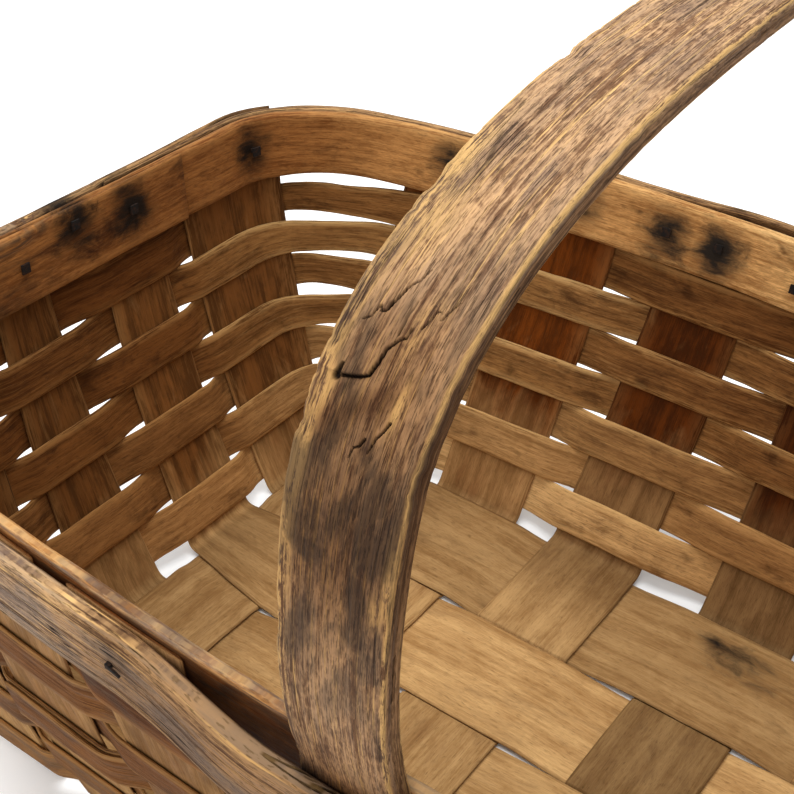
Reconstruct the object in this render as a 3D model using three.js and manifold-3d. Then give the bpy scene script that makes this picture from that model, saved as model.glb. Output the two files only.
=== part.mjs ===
// Gathering basket woven from wide flat wood splints, with a fixed bentwood handle
// Sizes are in millimetres, +Z is up, +X runs along the long side of the basket
// The origin lies on the ground under the middle of the basket

import * as THREE from 'three';
import Module from 'manifold-3d';

const wasm = await Module();
wasm.setup();

// Strips and clearances
const splintThickness = 1.3;
const weaverThickness = 1.3;
const seatGap = 0.35;

// Basket outline at the ground, measured on the middle of the wall
const baseHalfLength = 180.6;
const baseHalfWidth = 111.7;
const baseCornerLong = 4.5;
const baseCornerShort = 13;

// Basket outline at the rim, measured on the inner edge of the inner rim
const rimHeight = 156.1;
const mouthHalfLength = 222.7;
const mouthHalfWidth = 151.7;
const mouthCornerLong = 54.7;
const mouthCornerShort = 54.5;
const farBow = 40;
const nearBow = 20;
const cornerRoundness = 0.58;
const wallBelly = 0.6;

// Rims
const innerRimThickness = 4.8;
const innerRimWidth = 28.3;
const outerRimThickness = 6.5;
const outerRimWidth = 26.4;
const outerRimDrop = 0.6;
const rimCornerLift = 0.5;
const innerRimRounding = 1.2;
const outerRimRounding = 2.2;
const rimStepLong = 20;
const rimStepShort = 37;
const innerLapStart = -62;
const innerLapEnd = 45;
const outerLapStart = 8;
const outerLapEnd = 100;
const lapTip = 0.9;
const lapGap = 0.3;

// Rows of weavers
const rowCount = 7;
const firstRowBottom = 6.65;
const rowGap = 0.3;
const topRowExtra = 1.95;
const rimClearance = 0.6;
const cornerDip = 0.8;
const cornerSlits = [0.4, 0.4, 0.4, 3.6, 1.8, 3.4, 5.4];
const slitAtShortSide = 0.9;
const slitAtMiddle = 0.7;
const slitAtLongSide = 0.35;
const cornerSteps = 6;
const lapStakes = 3;

// Uprights: where each splint lies on the floor and where its edges reach at the rim
const splintDrop = 2.6;
const bendLength = 2.5;
const wallStart = 4.6;
const bendSteps = 3;
const crossSplints = [
  { floor: [-177.8, -138.7], far: [-172, -134], near: [-182, -150] },
  { floor: [-126.7, -85.7], far: [-120, -79], near: [-143, -103] },
  { floor: [-67.9, -26.4], far: [-56, -20], near: [-89.4, -48.1] },
  { floor: [3.1, 44.5], far: [7, 47], near: [21, 58], farTrim: 16, nearTrim: 24 },
  { floor: [69, 110], far: [66, 104], near: [80, 120] },
  { floor: [136, 177.8], far: [134, 172], near: [148, 182] },
];
const longSplints = [
  { floor: [50.4, 108.9], leftBase: [57.5, 104], left: [46, 102], rightBase: [58, 102], right: [48, 98] },
  { floor: [-2.8, 49], leftBase: [6, 44], left: [0, 30], rightBase: [4, 42], right: [1, 34] },
  { floor: [-55.8, -4.2], leftBase: [-51, -13.6], left: [-52, -30], rightBase: [-49, -12], right: [-47, -13] },
  { floor: [-108.9, -57.2], leftBase: [-104, -65], left: [-104, -66], rightBase: [-103, -64], right: [-100, -64] },
];

// Handle
const handleWidth = 27.8;
const handleThickness = 7.6;
const handleChamfer = 1.2;
const handleHalfSpan = 178.6;
const handleShoulderRise = 68.1;
const handleRise = 150.9;
const handleSquareness = 3.18;
const handleMiddle = 4.2;
const handleSkew = 4.1;
const handleFootClearance = 0.7;
const handleArcSteps = 15;
const handleLegSteps = 4;
const bulgeFlat = 17;
const bulgeEnd = 75;

// Nails
const nailShankWidth = 1.6;
const nailHeadWidth = 3.6;
const nailHeadThickness = 0.8;
const nailSeat = 0.2;
const nailClearance = 0.25;
const nailDepth = 12.6;
const legNailSpread = 6;
const nailShares = { 0: 0.74, 7: 0.26 };
const clinchLength = 4.5;
const clinchWidth = 1.4;
const clinchThickness = 0.7;

// Sizes that follow from the ones above
const innerRimBottom = rimHeight - innerRimWidth;
const outerRimTop = rimHeight - outerRimDrop;
const outerRimBottom = outerRimTop - outerRimWidth;
const rowsTop = Math.min(innerRimBottom, outerRimBottom) - rimClearance;
const rowPitch = (rowsTop - topRowExtra - firstRowBottom + rowGap) / rowCount;
const weaverWidth = rowPitch - rowGap;
const legTrimStart = firstRowBottom + rowCount * rowPitch - 0.1;
const lapLayer = weaverThickness + lapGap;
const splintTop = rimHeight - splintDrop;
const handleFoot = outerRimBottom + handleFootClearance;
const handleTop = rimHeight + handleRise;
const handleShoulderHeight = rimHeight + handleShoulderRise;
const nailHeight = rimHeight - nailDepth;
const seatOffset = splintThickness / 2 + seatGap;
const topHalfLength = mouthHalfLength + innerRimThickness + seatOffset;
const topHalfWidth = mouthHalfWidth + innerRimThickness + seatOffset;
const weaveOffset = splintThickness / 2 + seatGap + weaverThickness / 2;
const floorLow = splintThickness / 2;
const floorHigh = floorLow + splintThickness + seatGap;
const rimBulge = handleThickness - splintThickness;

function mix(a, b, t) {
  return a + (b - a) * t;
}

function ease(t) {
  return 0.5 - 0.5 * Math.cos(Math.PI * Math.min(Math.max(t, 0), 1));
}

function point(x, y, z) {
  return new THREE.Vector3(x, y, z);
}

// Share of the spread from the ground outline to the rim outline at a height
function spread(z) {
  const share = z / rimHeight;
  return share + wallBelly * share * (1 - share);
}

// Outline sizes of the middle of the wall at a height
function outlineAt(z, side) {
  const t = spread(z);
  return {
    halfLength: mix(baseHalfLength, topHalfLength, t),
    halfWidth: mix(baseHalfWidth, topHalfWidth, t),
    bow: (side > 0 ? farBow : nearBow) * t,
    cornerLong: mix(baseCornerLong, mouthCornerLong, t),
    cornerShort: mix(baseCornerShort, mouthCornerShort, t),
  };
}

// Rounded corner between a long side and a short side, u runs from the long side to the short side
function cornerXY(o, u) {
  const x0 = o.halfLength - o.cornerLong;
  const y0 = o.halfWidth - o.bow * (x0 / o.halfLength) ** 2;
  const y3 = y0 - o.cornerShort;
  const slope = (-2 * o.bow * x0) / o.halfLength ** 2;
  const kneeY = y0 + slope * o.cornerLong;
  const x1 = mix(x0, o.halfLength, cornerRoundness);
  const y1 = mix(y0, kneeY, cornerRoundness);
  const y2 = mix(y3, kneeY, cornerRoundness);
  const v = 1 - u;
  const x = v ** 3 * x0 + 3 * v * v * u * x1 + 3 * v * u * u * o.halfLength + u ** 3 * o.halfLength;
  const y = v ** 3 * y0 + 3 * v * v * u * y1 + 3 * v * u * u * y2 + u ** 3 * y3;
  return [x, y];
}

function cornerParameter(o, axis, value) {
  let low = 0;
  let high = 1;
  for (let i = 0; i < 40; i += 1) {
    const middle = (low + high) / 2;
    const found = cornerXY(o, middle)[axis];
    const before = axis === 0 ? found < value : found > value;
    if (before) low = middle;
    else high = middle;
  }
  return (low + high) / 2;
}

function shortSideEnd(o) {
  return cornerXY(o, 1)[1];
}

// Point of the middle of a long wall at a place x and a height z
function longWallPoint(side, x, z) {
  const o = outlineAt(z, side);
  const reach = Math.abs(x);
  if (reach <= o.halfLength - o.cornerLong) {
    return point(x, side * (o.halfWidth - o.bow * (x / o.halfLength) ** 2), z);
  }
  const xy = cornerXY(o, cornerParameter(o, 0, reach));
  return point(Math.sign(x) * xy[0], side * xy[1], z);
}

// Point of the middle of a short wall at a place y and a height z
function shortWallPoint(side, y, z) {
  const o = outlineAt(z, Math.sign(y) || 1);
  const reach = Math.abs(y);
  if (reach <= shortSideEnd(o)) return point(side * o.halfLength, y, z);
  const xy = cornerXY(o, cornerParameter(o, 1, reach));
  return point(side * xy[0], Math.sign(y) * xy[1], z);
}

// Frame on the wall: position, outward direction and how far it lies in an open corner
function wallFrame(place, z, corner) {
  const here = place(0, z);
  const along = place(0.01, z).sub(here);
  const upward = place(0, z + 0.05).sub(here);
  const out = along.cross(upward).normalize();
  if (out.x * here.x + out.y * here.y < 0) out.negate();
  return { at: here, out, corner };
}

// Edges of a cross splint on a long wall, cut back between the rims where a handle leg passes
function crossEdges(s, side, z) {
  const top = side > 0 ? s.far : s.near;
  const edges = [0, 1].map((j) => mix(s.floor[j], top[j], z / rimHeight));
  const trim = side > 0 ? s.farTrim : s.nearTrim;
  if (trim && z > legTrimStart) edges[0] = Math.max(edges[0], trim);
  return edges;
}

// The twenty uprights in the order in which the weavers pass them
function makeUprights() {
  const list = [];
  const long = (k, side, flip) => {
    const s = longSplints[k];
    const base = side < 0 ? s.leftBase : s.rightBase;
    const top = side < 0 ? s.left : s.right;
    const order = flip ? [1, 0] : [0, 1];
    list.push({
      node: `long_splint_${k + 1}`,
      place: (share) => (e, z) => {
        const a = mix(base[order[0]], top[order[0]], z / rimHeight);
        const b = mix(base[order[1]], top[order[1]], z / rimHeight);
        return shortWallPoint(side, mix(a, b, share) + e, z);
      },
    });
  };
  const cross = (k, side, flip) => {
    const s = crossSplints[k];
    const order = flip ? [1, 0] : [0, 1];
    list.push({
      node: `cross_splint_${k + 1}`,
      place: (share) => (e, z) => {
        const edges = crossEdges(s, side, z);
        return longWallPoint(side, mix(edges[order[0]], edges[order[1]], share) + e, z);
      },
    });
  };
  long(0, -1, false);
  for (let k = 0; k < 6; k += 1) cross(k, 1, false);
  for (let k = 0; k < 4; k += 1) long(k, 1, true);
  for (let k = 5; k >= 0; k -= 1) cross(k, -1, true);
  for (let k = 3; k >= 1; k -= 1) long(k, -1, false);
  return list;
}

const uprights = makeUprights();

// Uprights on the straight part of a short wall
const straightUprights = [8, 9, 18, 19];

// Corners come after these uprights in the passing order
const cornerAfter = { 0: [-1, 1], 6: [1, 1], 10: [1, -1], 16: [-1, -1] };

// Places between the last edge of one upright and the first edge of the next round a corner
function cornerPlace(k, share) {
  const [sx, sy] = cornerAfter[k];
  const before = uprights[k].place(1);
  const after = uprights[(k + 1) % uprights.length].place(0);
  const fromShort = k === 0 || k === 10;
  return (e, z) => {
    const o = outlineAt(z, sy);
    const longEdge = Math.abs((fromShort ? after : before)(0, z).x);
    const shortEdge = Math.abs((fromShort ? before : after)(0, z).y);
    const first = longEdge > o.halfLength - o.cornerLong ? cornerParameter(o, 0, longEdge) : 0;
    const last = shortEdge > shortSideEnd(o) ? cornerParameter(o, 1, shortEdge) : 1;
    const t = fromShort ? 1 - share : share;
    const xy = cornerXY(o, mix(first, last, t) + e);
    return point(sx * xy[0], sy * xy[1], z);
  };
}

function cornerStations(k) {
  const list = [];
  for (let i = 1; i < cornerSteps; i += 1) {
    const share = i / cornerSteps;
    const corner = Math.sin(Math.PI * share);
    const fromShort = k === 0 || k === 10;
    const open = mix(slitAtShortSide, slitAtLongSide, fromShort ? share : 1 - share);
    list.push({ place: cornerPlace(k, share), corner, open: Math.max(open, corner * slitAtMiddle), share });
  }
  return list;
}

// How far the slits between the rows stand open at an upright, which is only beside a corner
function openingAt(k, share) {
  if (share === 1 && k in cornerAfter) return k === 0 || k === 10 ? slitAtShortSide : slitAtLongSide;
  const before = (k + uprights.length - 1) % uprights.length;
  if (share === 0 && before in cornerAfter) return before === 0 || before === 10 ? slitAtLongSide : slitAtShortSide;
  return 0;
}

// Closed body through rings of points, each ring has its outer row first and its inner row back
function loft(rings) {
  const count = rings[0].length;
  const half = count / 2;
  const last = (rings.length - 1) * count;
  const positions = [];
  const index = [];
  for (const ring of rings) {
    for (const p of ring) positions.push(p.x, p.y, p.z);
  }
  for (let i = 0; i + 1 < rings.length; i += 1) {
    for (let j = 0; j < count; j += 1) {
      const a = i * count + j;
      const b = i * count + ((j + 1) % count);
      index.push(a, b, b + count, a, b + count, a + count);
    }
  }
  for (let j = 0; j + 1 < half; j += 1) {
    const quad = [j, j + 1, count - 2 - j, count - 1 - j];
    index.push(quad[0], quad[2], quad[1], quad[0], quad[3], quad[2]);
    index.push(last + quad[0], last + quad[1], last + quad[2], last + quad[0], last + quad[2], last + quad[3]);
  }
  const geometry = new THREE.BufferGeometry();
  geometry.setAttribute('position', new THREE.Float32BufferAttribute(positions, 3));
  geometry.setIndex(index);
  if (signedVolume(geometry) < 0) {
    for (let i = 0; i < index.length; i += 3) {
      const keep = index[i];
      index[i] = index[i + 1];
      index[i + 1] = keep;
    }
    geometry.setIndex(index);
  }
  return geometry;
}

function signedVolume(geometry) {
  const p = geometry.getAttribute('position');
  const index = geometry.getIndex();
  const a = new THREE.Vector3();
  const b = new THREE.Vector3();
  const c = new THREE.Vector3();
  let sum = 0;
  for (let i = 0; i < index.count; i += 3) {
    a.fromBufferAttribute(p, index.getX(i));
    b.fromBufferAttribute(p, index.getX(i + 1));
    c.fromBufferAttribute(p, index.getX(i + 2));
    sum += a.dot(b.cross(c)) / 6;
  }
  return sum;
}

function toSolid(geometry) {
  return new wasm.Manifold(new wasm.Mesh({
    numProp: 3,
    vertProperties: new Float32Array(geometry.getAttribute('position').array),
    triVerts: new Uint32Array(geometry.getIndex().array),
  }));
}

function fromSolid(solid) {
  const mesh = solid.getMesh();
  const geometry = new THREE.BufferGeometry();
  geometry.setAttribute('position', new THREE.Float32BufferAttribute(mesh.vertProperties, 3));
  geometry.setIndex(Array.from(mesh.triVerts));
  return geometry;
}

// Ring of a flat band that stands on the wall, given its two heights and its two offsets
function bandRing(station, low, high, inner, outer, rounding) {
  const middle = (low + high) / 2;
  const centre = wallFrame(station.place, middle, station.corner);
  const level = centre.out.clone().setZ(0).normalize();
  const frames = [low, high].map((z) => {
    const f = wallFrame(station.place, z, station.corner);
    const at = f.at.lerp(point(centre.at.x, centre.at.y, z), station.corner);
    const out = f.out.lerp(level, station.corner).normalize();
    return { at, out };
  });
  const spot = (offset, z) => {
    const t = (z - low) / (high - low);
    const a = frames[0].at.clone().addScaledVector(frames[0].out, offset);
    const b = frames[1].at.clone().addScaledVector(frames[1].out, offset);
    return a.lerp(b, t);
  };
  if (!rounding) return [spot(outer, low), spot(outer, high), spot(inner, high), spot(inner, low)];
  const c = Math.min(rounding, (outer - inner) * 0.35);
  return [
    spot(outer, low),
    spot(outer, high - c),
    spot(outer - c, high),
    spot(inner + c, high),
    spot(inner, high - c),
    spot(inner, low),
  ];
}

// Weaver: one flat strip that passes in and out of the uprights and laps on itself
function weaver(row, firstUpright) {
  const low = firstRowBottom + row * rowPitch;
  const high = low + weaverWidth + (row === rowCount - 1 ? topRowExtra : 0);
  const slitAbove = row === rowCount - 1 ? cornerSlits[row] : cornerSlits[row] / 2;
  const slitBelow = row === 0 ? 0 : cornerSlits[row - 1] / 2;
  const total = uprights.length + lapStakes;
  const rings = [];
  const offsetAt = (step) => {
    const k = (firstUpright + step) % uprights.length;
    const outside = (k + row) % 2 === 0;
    const firstLayer = step < lapStakes;
    const secondLayer = step >= uprights.length;
    if (outside) return weaveOffset + (secondLayer ? lapLayer : 0);
    return -weaveOffset - (firstLayer ? lapLayer : 0);
  };
  const add = (station, offset) => {
    const drop = cornerDip * spread(low) * station.corner ** 2;
    const bottom = low - drop + slitBelow * station.open;
    const top = high - drop - slitAbove * station.open;
    rings.push(bandRing(station, bottom, top, offset - weaverThickness / 2, offset + weaverThickness / 2, 0));
  };
  for (let step = 0; step < total; step += 1) {
    const k = (firstUpright + step) % uprights.length;
    const offset = offsetAt(step);
    const passing = straightUprights.includes(k) ? [0, 1] : [0, 0.5, 1];
    for (const share of passing) add({ place: uprights[k].place(share), corner: 0, open: openingAt(k, share) }, offset);
    if (step + 1 < total && k in cornerAfter) {
      const next = offsetAt(step + 1);
      for (const station of cornerStations(k)) add(station, mix(offset, next, ease(station.share)));
    }
  }
  return loft(rings);
}

// Stations of a rim: along each side between its outer uprights, and round each corner
function rimStations() {
  const list = [];
  const middle = (innerRimBottom + rimHeight) / 2;
  const sides = [
    { name: 'far', from: 1, to: 6, axis: 'x', make: (v) => (e, z) => longWallPoint(1, v + e, z) },
    { name: 'right', from: 7, to: 10, axis: 'y', make: (v) => (e, z) => shortWallPoint(1, v + e, z) },
    { name: 'near', from: 11, to: 16, axis: 'x', make: (v) => (e, z) => longWallPoint(-1, v + e, z) },
    { name: 'left', from: 17, to: 0, axis: 'y', make: (v) => (e, z) => shortWallPoint(-1, v + e, z) },
  ];
  for (const side of sides) {
    const edge = (k, share) => uprights[k].place(share)(0, middle)[side.axis];
    const values = [0, 0.5].map((share) => edge(side.from, share));
    const start = edge(side.from, 1);
    const end = edge(side.to, 0);
    const step = side.axis === 'x' ? rimStepLong : rimStepShort;
    const steps = Math.round(Math.abs(end - start) / step);
    for (let i = 0; i <= steps; i += 1) values.push(mix(start, end, i / steps));
    values.push(...[0.5, 1].map((share) => edge(side.to, share)));
    for (const value of values) list.push({ place: side.make(value), corner: 0, side, value });
    list.push(...cornerStations(side.to));
  }
  return list;
}

// Number of the rim station nearest to a place on one side
function stationNear(stations, name, value) {
  let best = 0;
  let least = Infinity;
  stations.forEach((station, i) => {
    const away = station.side && station.side.name === name ? Math.abs(station.value - value) : Infinity;
    if (away < least) {
      least = away;
      best = i;
    }
  });
  return best;
}

// Middle of the handle over its length, it stands a little askew
function handleCentreX(y) {
  return handleMiddle - (handleSkew * y) / handleHalfSpan;
}

// How far a rim stands out to leave room for a handle leg
function bulgeAt(p) {
  const away = Math.abs(p.x - handleCentreX(p.y));
  return rimBulge * (1 - ease((away - bulgeFlat) / (bulgeEnd - bulgeFlat)));
}

// Rim: an open band whose two thinned ends lie on each other over some stations
function rim(firstStation, lapSteps, low, high, inner, outer, rounding, tipOutside, bulging) {
  const stations = rimStations();
  const total = stations.length + lapSteps;
  const rings = [];
  const full = outer - inner;
  for (let step = 0; step <= total; step += 1) {
    const station = stations[(firstStation + step) % stations.length];
    const lift = rimCornerLift * station.corner ** 2;
    const push = bulging && station.corner === 0 ? bulgeAt(station.place(0, high)) : 0;
    let a = inner;
    let b = outer;
    const startShare = step / lapSteps;
    const endShare = (step - stations.length) / lapSteps;
    const thick = full - lapGap - lapTip;
    if (startShare <= 1) {
      const t = mix(lapTip, thick, startShare);
      if (tipOutside) b = a + t;
      else a = b - t;
    }
    if (endShare >= 0) {
      const t = mix(thick, lapTip, endShare);
      if (tipOutside) a = b - t;
      else b = a + t;
    }
    rings.push(bandRing(station, low + lift, high + lift, a + push, b + push, rounding));
  }
  return loft(rings);
}

// Ring across a splint from three frames over its width
function splintRing(frames) {
  const outer = frames.map((f) => f.at.clone().addScaledVector(f.out, splintThickness / 2));
  const inner = frames.map((f) => f.at.clone().addScaledVector(f.out, -splintThickness / 2));
  return [...outer, ...inner.reverse()];
}

const wallHeights = [splintTop];
for (let row = rowCount; row >= 2; row -= 1) wallHeights.push(firstRowBottom + row * rowPitch);
for (const rows of [1.5, 1, 0.7, 0.4]) wallHeights.push(firstRowBottom + rows * rowPitch);
wallHeights.push(wallStart);

const shares = [0, 0.5, 1];

// Rings of a splint on one wall and round its bend, from the top down to the floor
function wallRings(places, floorPoints, floorZ) {
  const rings = wallHeights.map((z) => splintRing(places.map((place) => wallFrame(place, z, 0))));
  for (let i = bendSteps; i >= 0; i -= 1) {
    const t = i / (bendSteps + 1);
    const frames = places.map((place, j) => {
      const start = floorPoints[j].clone().setZ(floorZ);
      const knee = place(0, floorZ);
      const end = place(0, wallStart);
      const first = start.clone().lerp(knee, t);
      const second = knee.clone().lerp(end, t);
      const at = first.clone().lerp(second, t);
      const along = second.clone().sub(first);
      const rise = along.z;
      const run = along.setZ(0);
      const out = run.clone().normalize().multiplyScalar(rise);
      out.z = -run.length();
      return { at, out: out.normalize() };
    });
    rings.push(splintRing(frames));
  }
  return rings;
}

// Edge of a long splint on the floor at a place x, it narrows under the outermost cross splints
function longEdgeAt(k, x, share) {
  const s = longSplints[k];
  const base = x < 0 ? s.leftBase : s.rightBase;
  const inner = x < 0 ? -crossSplints[0].floor[1] : crossSplints[5].floor[0];
  const t = Math.min(Math.max((Math.abs(x) - inner) / (baseHalfLength - inner), 0), 1);
  return mix(mix(s.floor[0], base[0], t), mix(s.floor[1], base[1], t), share);
}

function floorRing(points) {
  return splintRing(points.map((at) => ({ at, out: point(0, 0, -1) })));
}

function longIsOver(k, i) {
  return (i + k) % 2 === 1;
}

// Long splint: up the left wall, along the floor and up the right wall
function longSplint(k) {
  const heightOver = (i) => (longIsOver(k, i) ? floorHigh : floorLow);
  const rings = [];
  const wall = (side) => {
    const s = longSplints[k];
    const base = side < 0 ? s.leftBase : s.rightBase;
    const top = side < 0 ? s.left : s.right;
    const places = shares.map((share) => (e, z) => {
      const a = mix(base[0], top[0], z / rimHeight);
      const b = mix(base[1], top[1], z / rimHeight);
      return shortWallPoint(side, mix(a, b, share) + e, z);
    });
    const x = side * (baseHalfLength - bendLength);
    const starts = shares.map((share) => point(x, longEdgeAt(k, x, share), 0));
    return wallRings(places, starts, heightOver(side < 0 ? 0 : 5));
  };
  rings.push(...wall(-1));
  for (let i = 0; i < 6; i += 1) {
    for (const x of crossSplints[i].floor) {
      const hidden = Math.abs(x) > baseHalfLength - bendLength - 1;
      if (!hidden) rings.push(floorRing(shares.map((share) => point(x, longEdgeAt(k, x, share), heightOver(i)))));
    }
  }
  rings.push(...wall(1).reverse());
  return loft(rings);
}

// Cross splint: up the near wall, across the floor and up the far wall
function crossSplint(i) {
  const s = crossSplints[i];
  const heightOver = (k) => (longIsOver(k, i) ? floorLow : floorHigh);
  const rings = [];
  const wall = (side) => {
    const places = shares.map((share) => (e, z) => {
      const edges = crossEdges(s, side, z);
      return longWallPoint(side, mix(edges[0], edges[1], share) + e, z);
    });
    const y = side * (baseHalfWidth - bendLength);
    const starts = shares.map((share) => point(mix(s.floor[0], s.floor[1], share), y, 0));
    return wallRings(places, starts, heightOver(side < 0 ? 3 : 0));
  };
  rings.push(...wall(-1));
  for (let k = 3; k >= 0; k -= 1) {
    for (const edge of [0, 1]) {
      const atBend = (k === 3 && edge === 0) || (k === 0 && edge === 1);
      if (!atBend) {
        rings.push(floorRing(shares.map((share) => {
          const x = mix(s.floor[0], s.floor[1], share);
          return point(x, longEdgeAt(k, x, edge), heightOver(k));
        })));
      }
    }
  }
  rings.push(...wall(1).reverse());
  return loft(rings);
}

// Handle: a flat hoop, straight between the rims, leaning out above them and square across the top
function handleCentre() {
  const lift = handleThickness / 2;
  const legY = (z) => {
    const low = longWallPoint(1, 0, handleFoot);
    const high = longWallPoint(1, 0, rimHeight);
    return mix(low.y, high.y, (z - handleFoot) / (rimHeight - handleFoot)) + rimBulge / 2;
  };
  const list = [];
  for (let i = 0; i <= 2; i += 1) {
    const z = mix(handleFoot, rimHeight, i / 2);
    list.push([legY(z), z]);
  }
  const shoulder = handleHalfSpan - lift;
  const drop = shoulder - legY(rimHeight);
  for (let i = 1; i <= handleLegSteps; i += 1) {
    const t = i / handleLegSteps;
    list.push([shoulder - drop * (1 - t) ** 2, mix(rimHeight, handleShoulderHeight, t)]);
  }
  const rise = handleTop - lift - handleShoulderHeight;
  for (let i = 1; i <= handleArcSteps; i += 1) {
    const angle = (Math.PI / 2) * (i / handleArcSteps);
    const c = Math.cos(angle) / shoulder;
    const s = Math.sin(angle) / rise;
    const reach = (Math.abs(c) ** handleSquareness + s ** handleSquareness) ** (-1 / handleSquareness);
    list.push([Math.max(reach * Math.cos(angle), 0), handleShoulderHeight + reach * Math.sin(angle)]);
  }
  const back = list.slice(0, -1).reverse().map(([y, z]) => [y, z]);
  return [...list.map(([y, z]) => [-y, z]), ...back];
}

function handle() {
  const path = handleCentre();
  const half = handleWidth / 2;
  const deep = handleThickness / 2;
  const c = handleChamfer;
  const rings = path.map(([y, z], i) => {
    const a = path[Math.max(i - 1, 0)];
    const b = path[Math.min(i + 1, path.length - 1)];
    const length = Math.hypot(b[0] - a[0], b[1] - a[1]);
    const outY = -(b[1] - a[1]) / length;
    const outZ = (b[0] - a[0]) / length;
    const centreX = handleCentreX(y);
    const spot = (x, o) => point(centreX + x, y + outY * o, z + outZ * o);
    return [
      spot(-half, deep - c),
      spot(-half + c, deep),
      spot(half - c, deep),
      spot(half, deep - c),
      spot(half, c - deep),
      spot(half - c, -deep),
      spot(-half + c, -deep),
      spot(-half, c - deep),
    ];
  });
  return loft(rings);
}

// Square ring round a direction, used for cut nails and their holes
function squareRing(centre, direction, width) {
  const side = point(0, 0, 1).cross(direction).normalize();
  const up = direction.clone().cross(side).normalize();
  const ring = [];
  for (const [a, b] of [[1, 1], [-1, 1], [-1, -1], [1, -1]]) {
    ring.push(centre.clone()
      .addScaledVector(side, (a * width) / 2)
      .addScaledVector(up, (b * width) / 2));
  }
  return ring;
}

function meshFor(geometry) {
  return new THREE.Mesh(geometry, new THREE.MeshStandardMaterial({ side: THREE.DoubleSide }));
}

const raycaster = new THREE.Raycaster();

function surfaceAlong(mesh, origin, direction) {
  raycaster.set(origin, direction);
  const hits = raycaster.intersectObject(mesh);
  if (!hits.length) throw new Error('a nail misses its rim');
  const normal = hits[0].face.normal.clone();
  if (normal.dot(direction) > 0) normal.negate();
  return { at: hits[0].point.clone(), normal };
}

// Cut nail with its head on the inside of the inner rim and its tip bent over outside the outer rim
function nail(innerMesh, outerMesh, at, out, lean) {
  const inside = surfaceAlong(innerMesh, at.clone().addScaledVector(out, -30), out);
  const outside = surfaceAlong(outerMesh, at.clone().addScaledVector(out, 30), out.clone().negate());
  const seat = inside.at.clone().addScaledVector(out, -nailSeat);
  const head = seat.clone().addScaledVector(out, -nailHeadThickness);
  const tail = outside.at.clone().addScaledVector(out, nailSeat + clinchThickness);
  const body = loft([
    squareRing(head, out, nailHeadWidth),
    squareRing(seat, out, nailHeadWidth),
    squareRing(seat, out, nailShankWidth),
    squareRing(tail, out, nailShankWidth),
  ]);
  const face = outside.normal;
  const side = point(0, 0, 1).cross(face).normalize();
  const up = face.clone().cross(side).normalize();
  const run = side.clone().multiplyScalar(Math.cos(lean)).addScaledVector(up, Math.sin(lean));
  const wide = face.clone().cross(run).normalize();
  const start = outside.at.clone().addScaledVector(face, nailSeat);
  const tipRing = (reach, width) => [[1, 1], [-1, 1], [-1, 0], [1, 0]].map(([a, b]) => start.clone()
    .addScaledVector(run, reach)
    .addScaledVector(wide, (a * width) / 2)
    .addScaledVector(face, b * clinchThickness));
  const tip = loft([tipRing(-clinchWidth / 4, clinchWidth), tipRing(clinchLength, clinchWidth / 2)]);
  const joined = toSolid(body).add(toSolid(tip));
  const hole = loft([
    squareRing(inside.at.clone().addScaledVector(out, -6), out, nailShankWidth + 2 * nailClearance),
    squareRing(outside.at.clone().addScaledVector(out, 6), out, nailShankWidth + 2 * nailClearance),
  ]);
  return { geometry: fromSolid(joined), hole: toSolid(hole) };
}

// Colours of the aged wood and iron
const wood = {
  floor: new THREE.MeshStandardMaterial({ color: 0xb07f45, roughness: 0.7, flatShading: true }),
  weaver: new THREE.MeshStandardMaterial({ color: 0x8a5a2c, roughness: 0.7, flatShading: true }),
  rim: new THREE.MeshStandardMaterial({ color: 0x9c6a34, roughness: 0.65, flatShading: true }),
  handle: new THREE.MeshStandardMaterial({ color: 0x6f4a2b, roughness: 0.6, flatShading: true }),
  iron: new THREE.MeshStandardMaterial({ color: 0x2b2826, roughness: 0.6, metalness: 0.7, flatShading: true }),
};

const pieces = new Map();
for (let k = 0; k < 4; k += 1) pieces.set(`long_splint_${k + 1}`, [longSplint(k), wood.floor]);
for (let i = 0; i < 6; i += 1) pieces.set(`cross_splint_${i + 1}`, [crossSplint(i), wood.floor]);

// The laps of the weavers are spread over the right half of the basket
const lapIndex = [4, 11, 7, 13, 5, 10, 8];
for (let row = 0; row < rowCount; row += 1) {
  pieces.set(`weaver_${row + 1}`, [weaver(row, lapIndex[row]), wood.weaver]);
}

// Rims, their laps lie on the left wall and round the far left corner
const stations = rimStations();
const innerLapFrom = stationNear(stations, 'left', innerLapStart);
const innerLapTo = stationNear(stations, 'left', innerLapEnd);
const outerLapFrom = stationNear(stations, 'left', outerLapStart);
const outerLapTo = stationNear(stations, 'left', outerLapEnd);
const innerFace = -seatOffset - innerRimThickness;
const innerRim = rim(
  innerLapFrom,
  innerLapTo - innerLapFrom,
  innerRimBottom,
  rimHeight,
  innerFace,
  -seatOffset,
  innerRimRounding,
  false,
  false,
);
const outerRim = rim(
  outerLapFrom,
  outerLapTo - outerLapFrom,
  outerRimBottom,
  outerRimTop,
  seatOffset,
  seatOffset + outerRimThickness,
  outerRimRounding,
  true,
  true,
);
pieces.set('inner_rim', [innerRim, wood.rim]);
pieces.set('outer_rim', [outerRim, wood.rim]);
pieces.set('handle', [handle(), wood.handle]);

// Nails: one in every upright, two in every handle leg and a few extra ones through both rims
const innerMesh = meshFor(innerRim);
const outerMesh = meshFor(outerRim);
const cutters = new Map([['inner_rim', []], ['outer_rim', []]]);

function drive(name, place, z, piece, lean) {
  const frame = wallFrame(place, z, 0);
  const made = nail(innerMesh, outerMesh, frame.at, frame.out, lean);
  pieces.set(name, [made.geometry, wood.iron]);
  cutters.get('inner_rim').push(made.hole);
  cutters.get('outer_rim').push(made.hole);
  if (piece) {
    if (!cutters.has(piece)) cutters.set(piece, []);
    cutters.get(piece).push(made.hole);
  }
}

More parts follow.
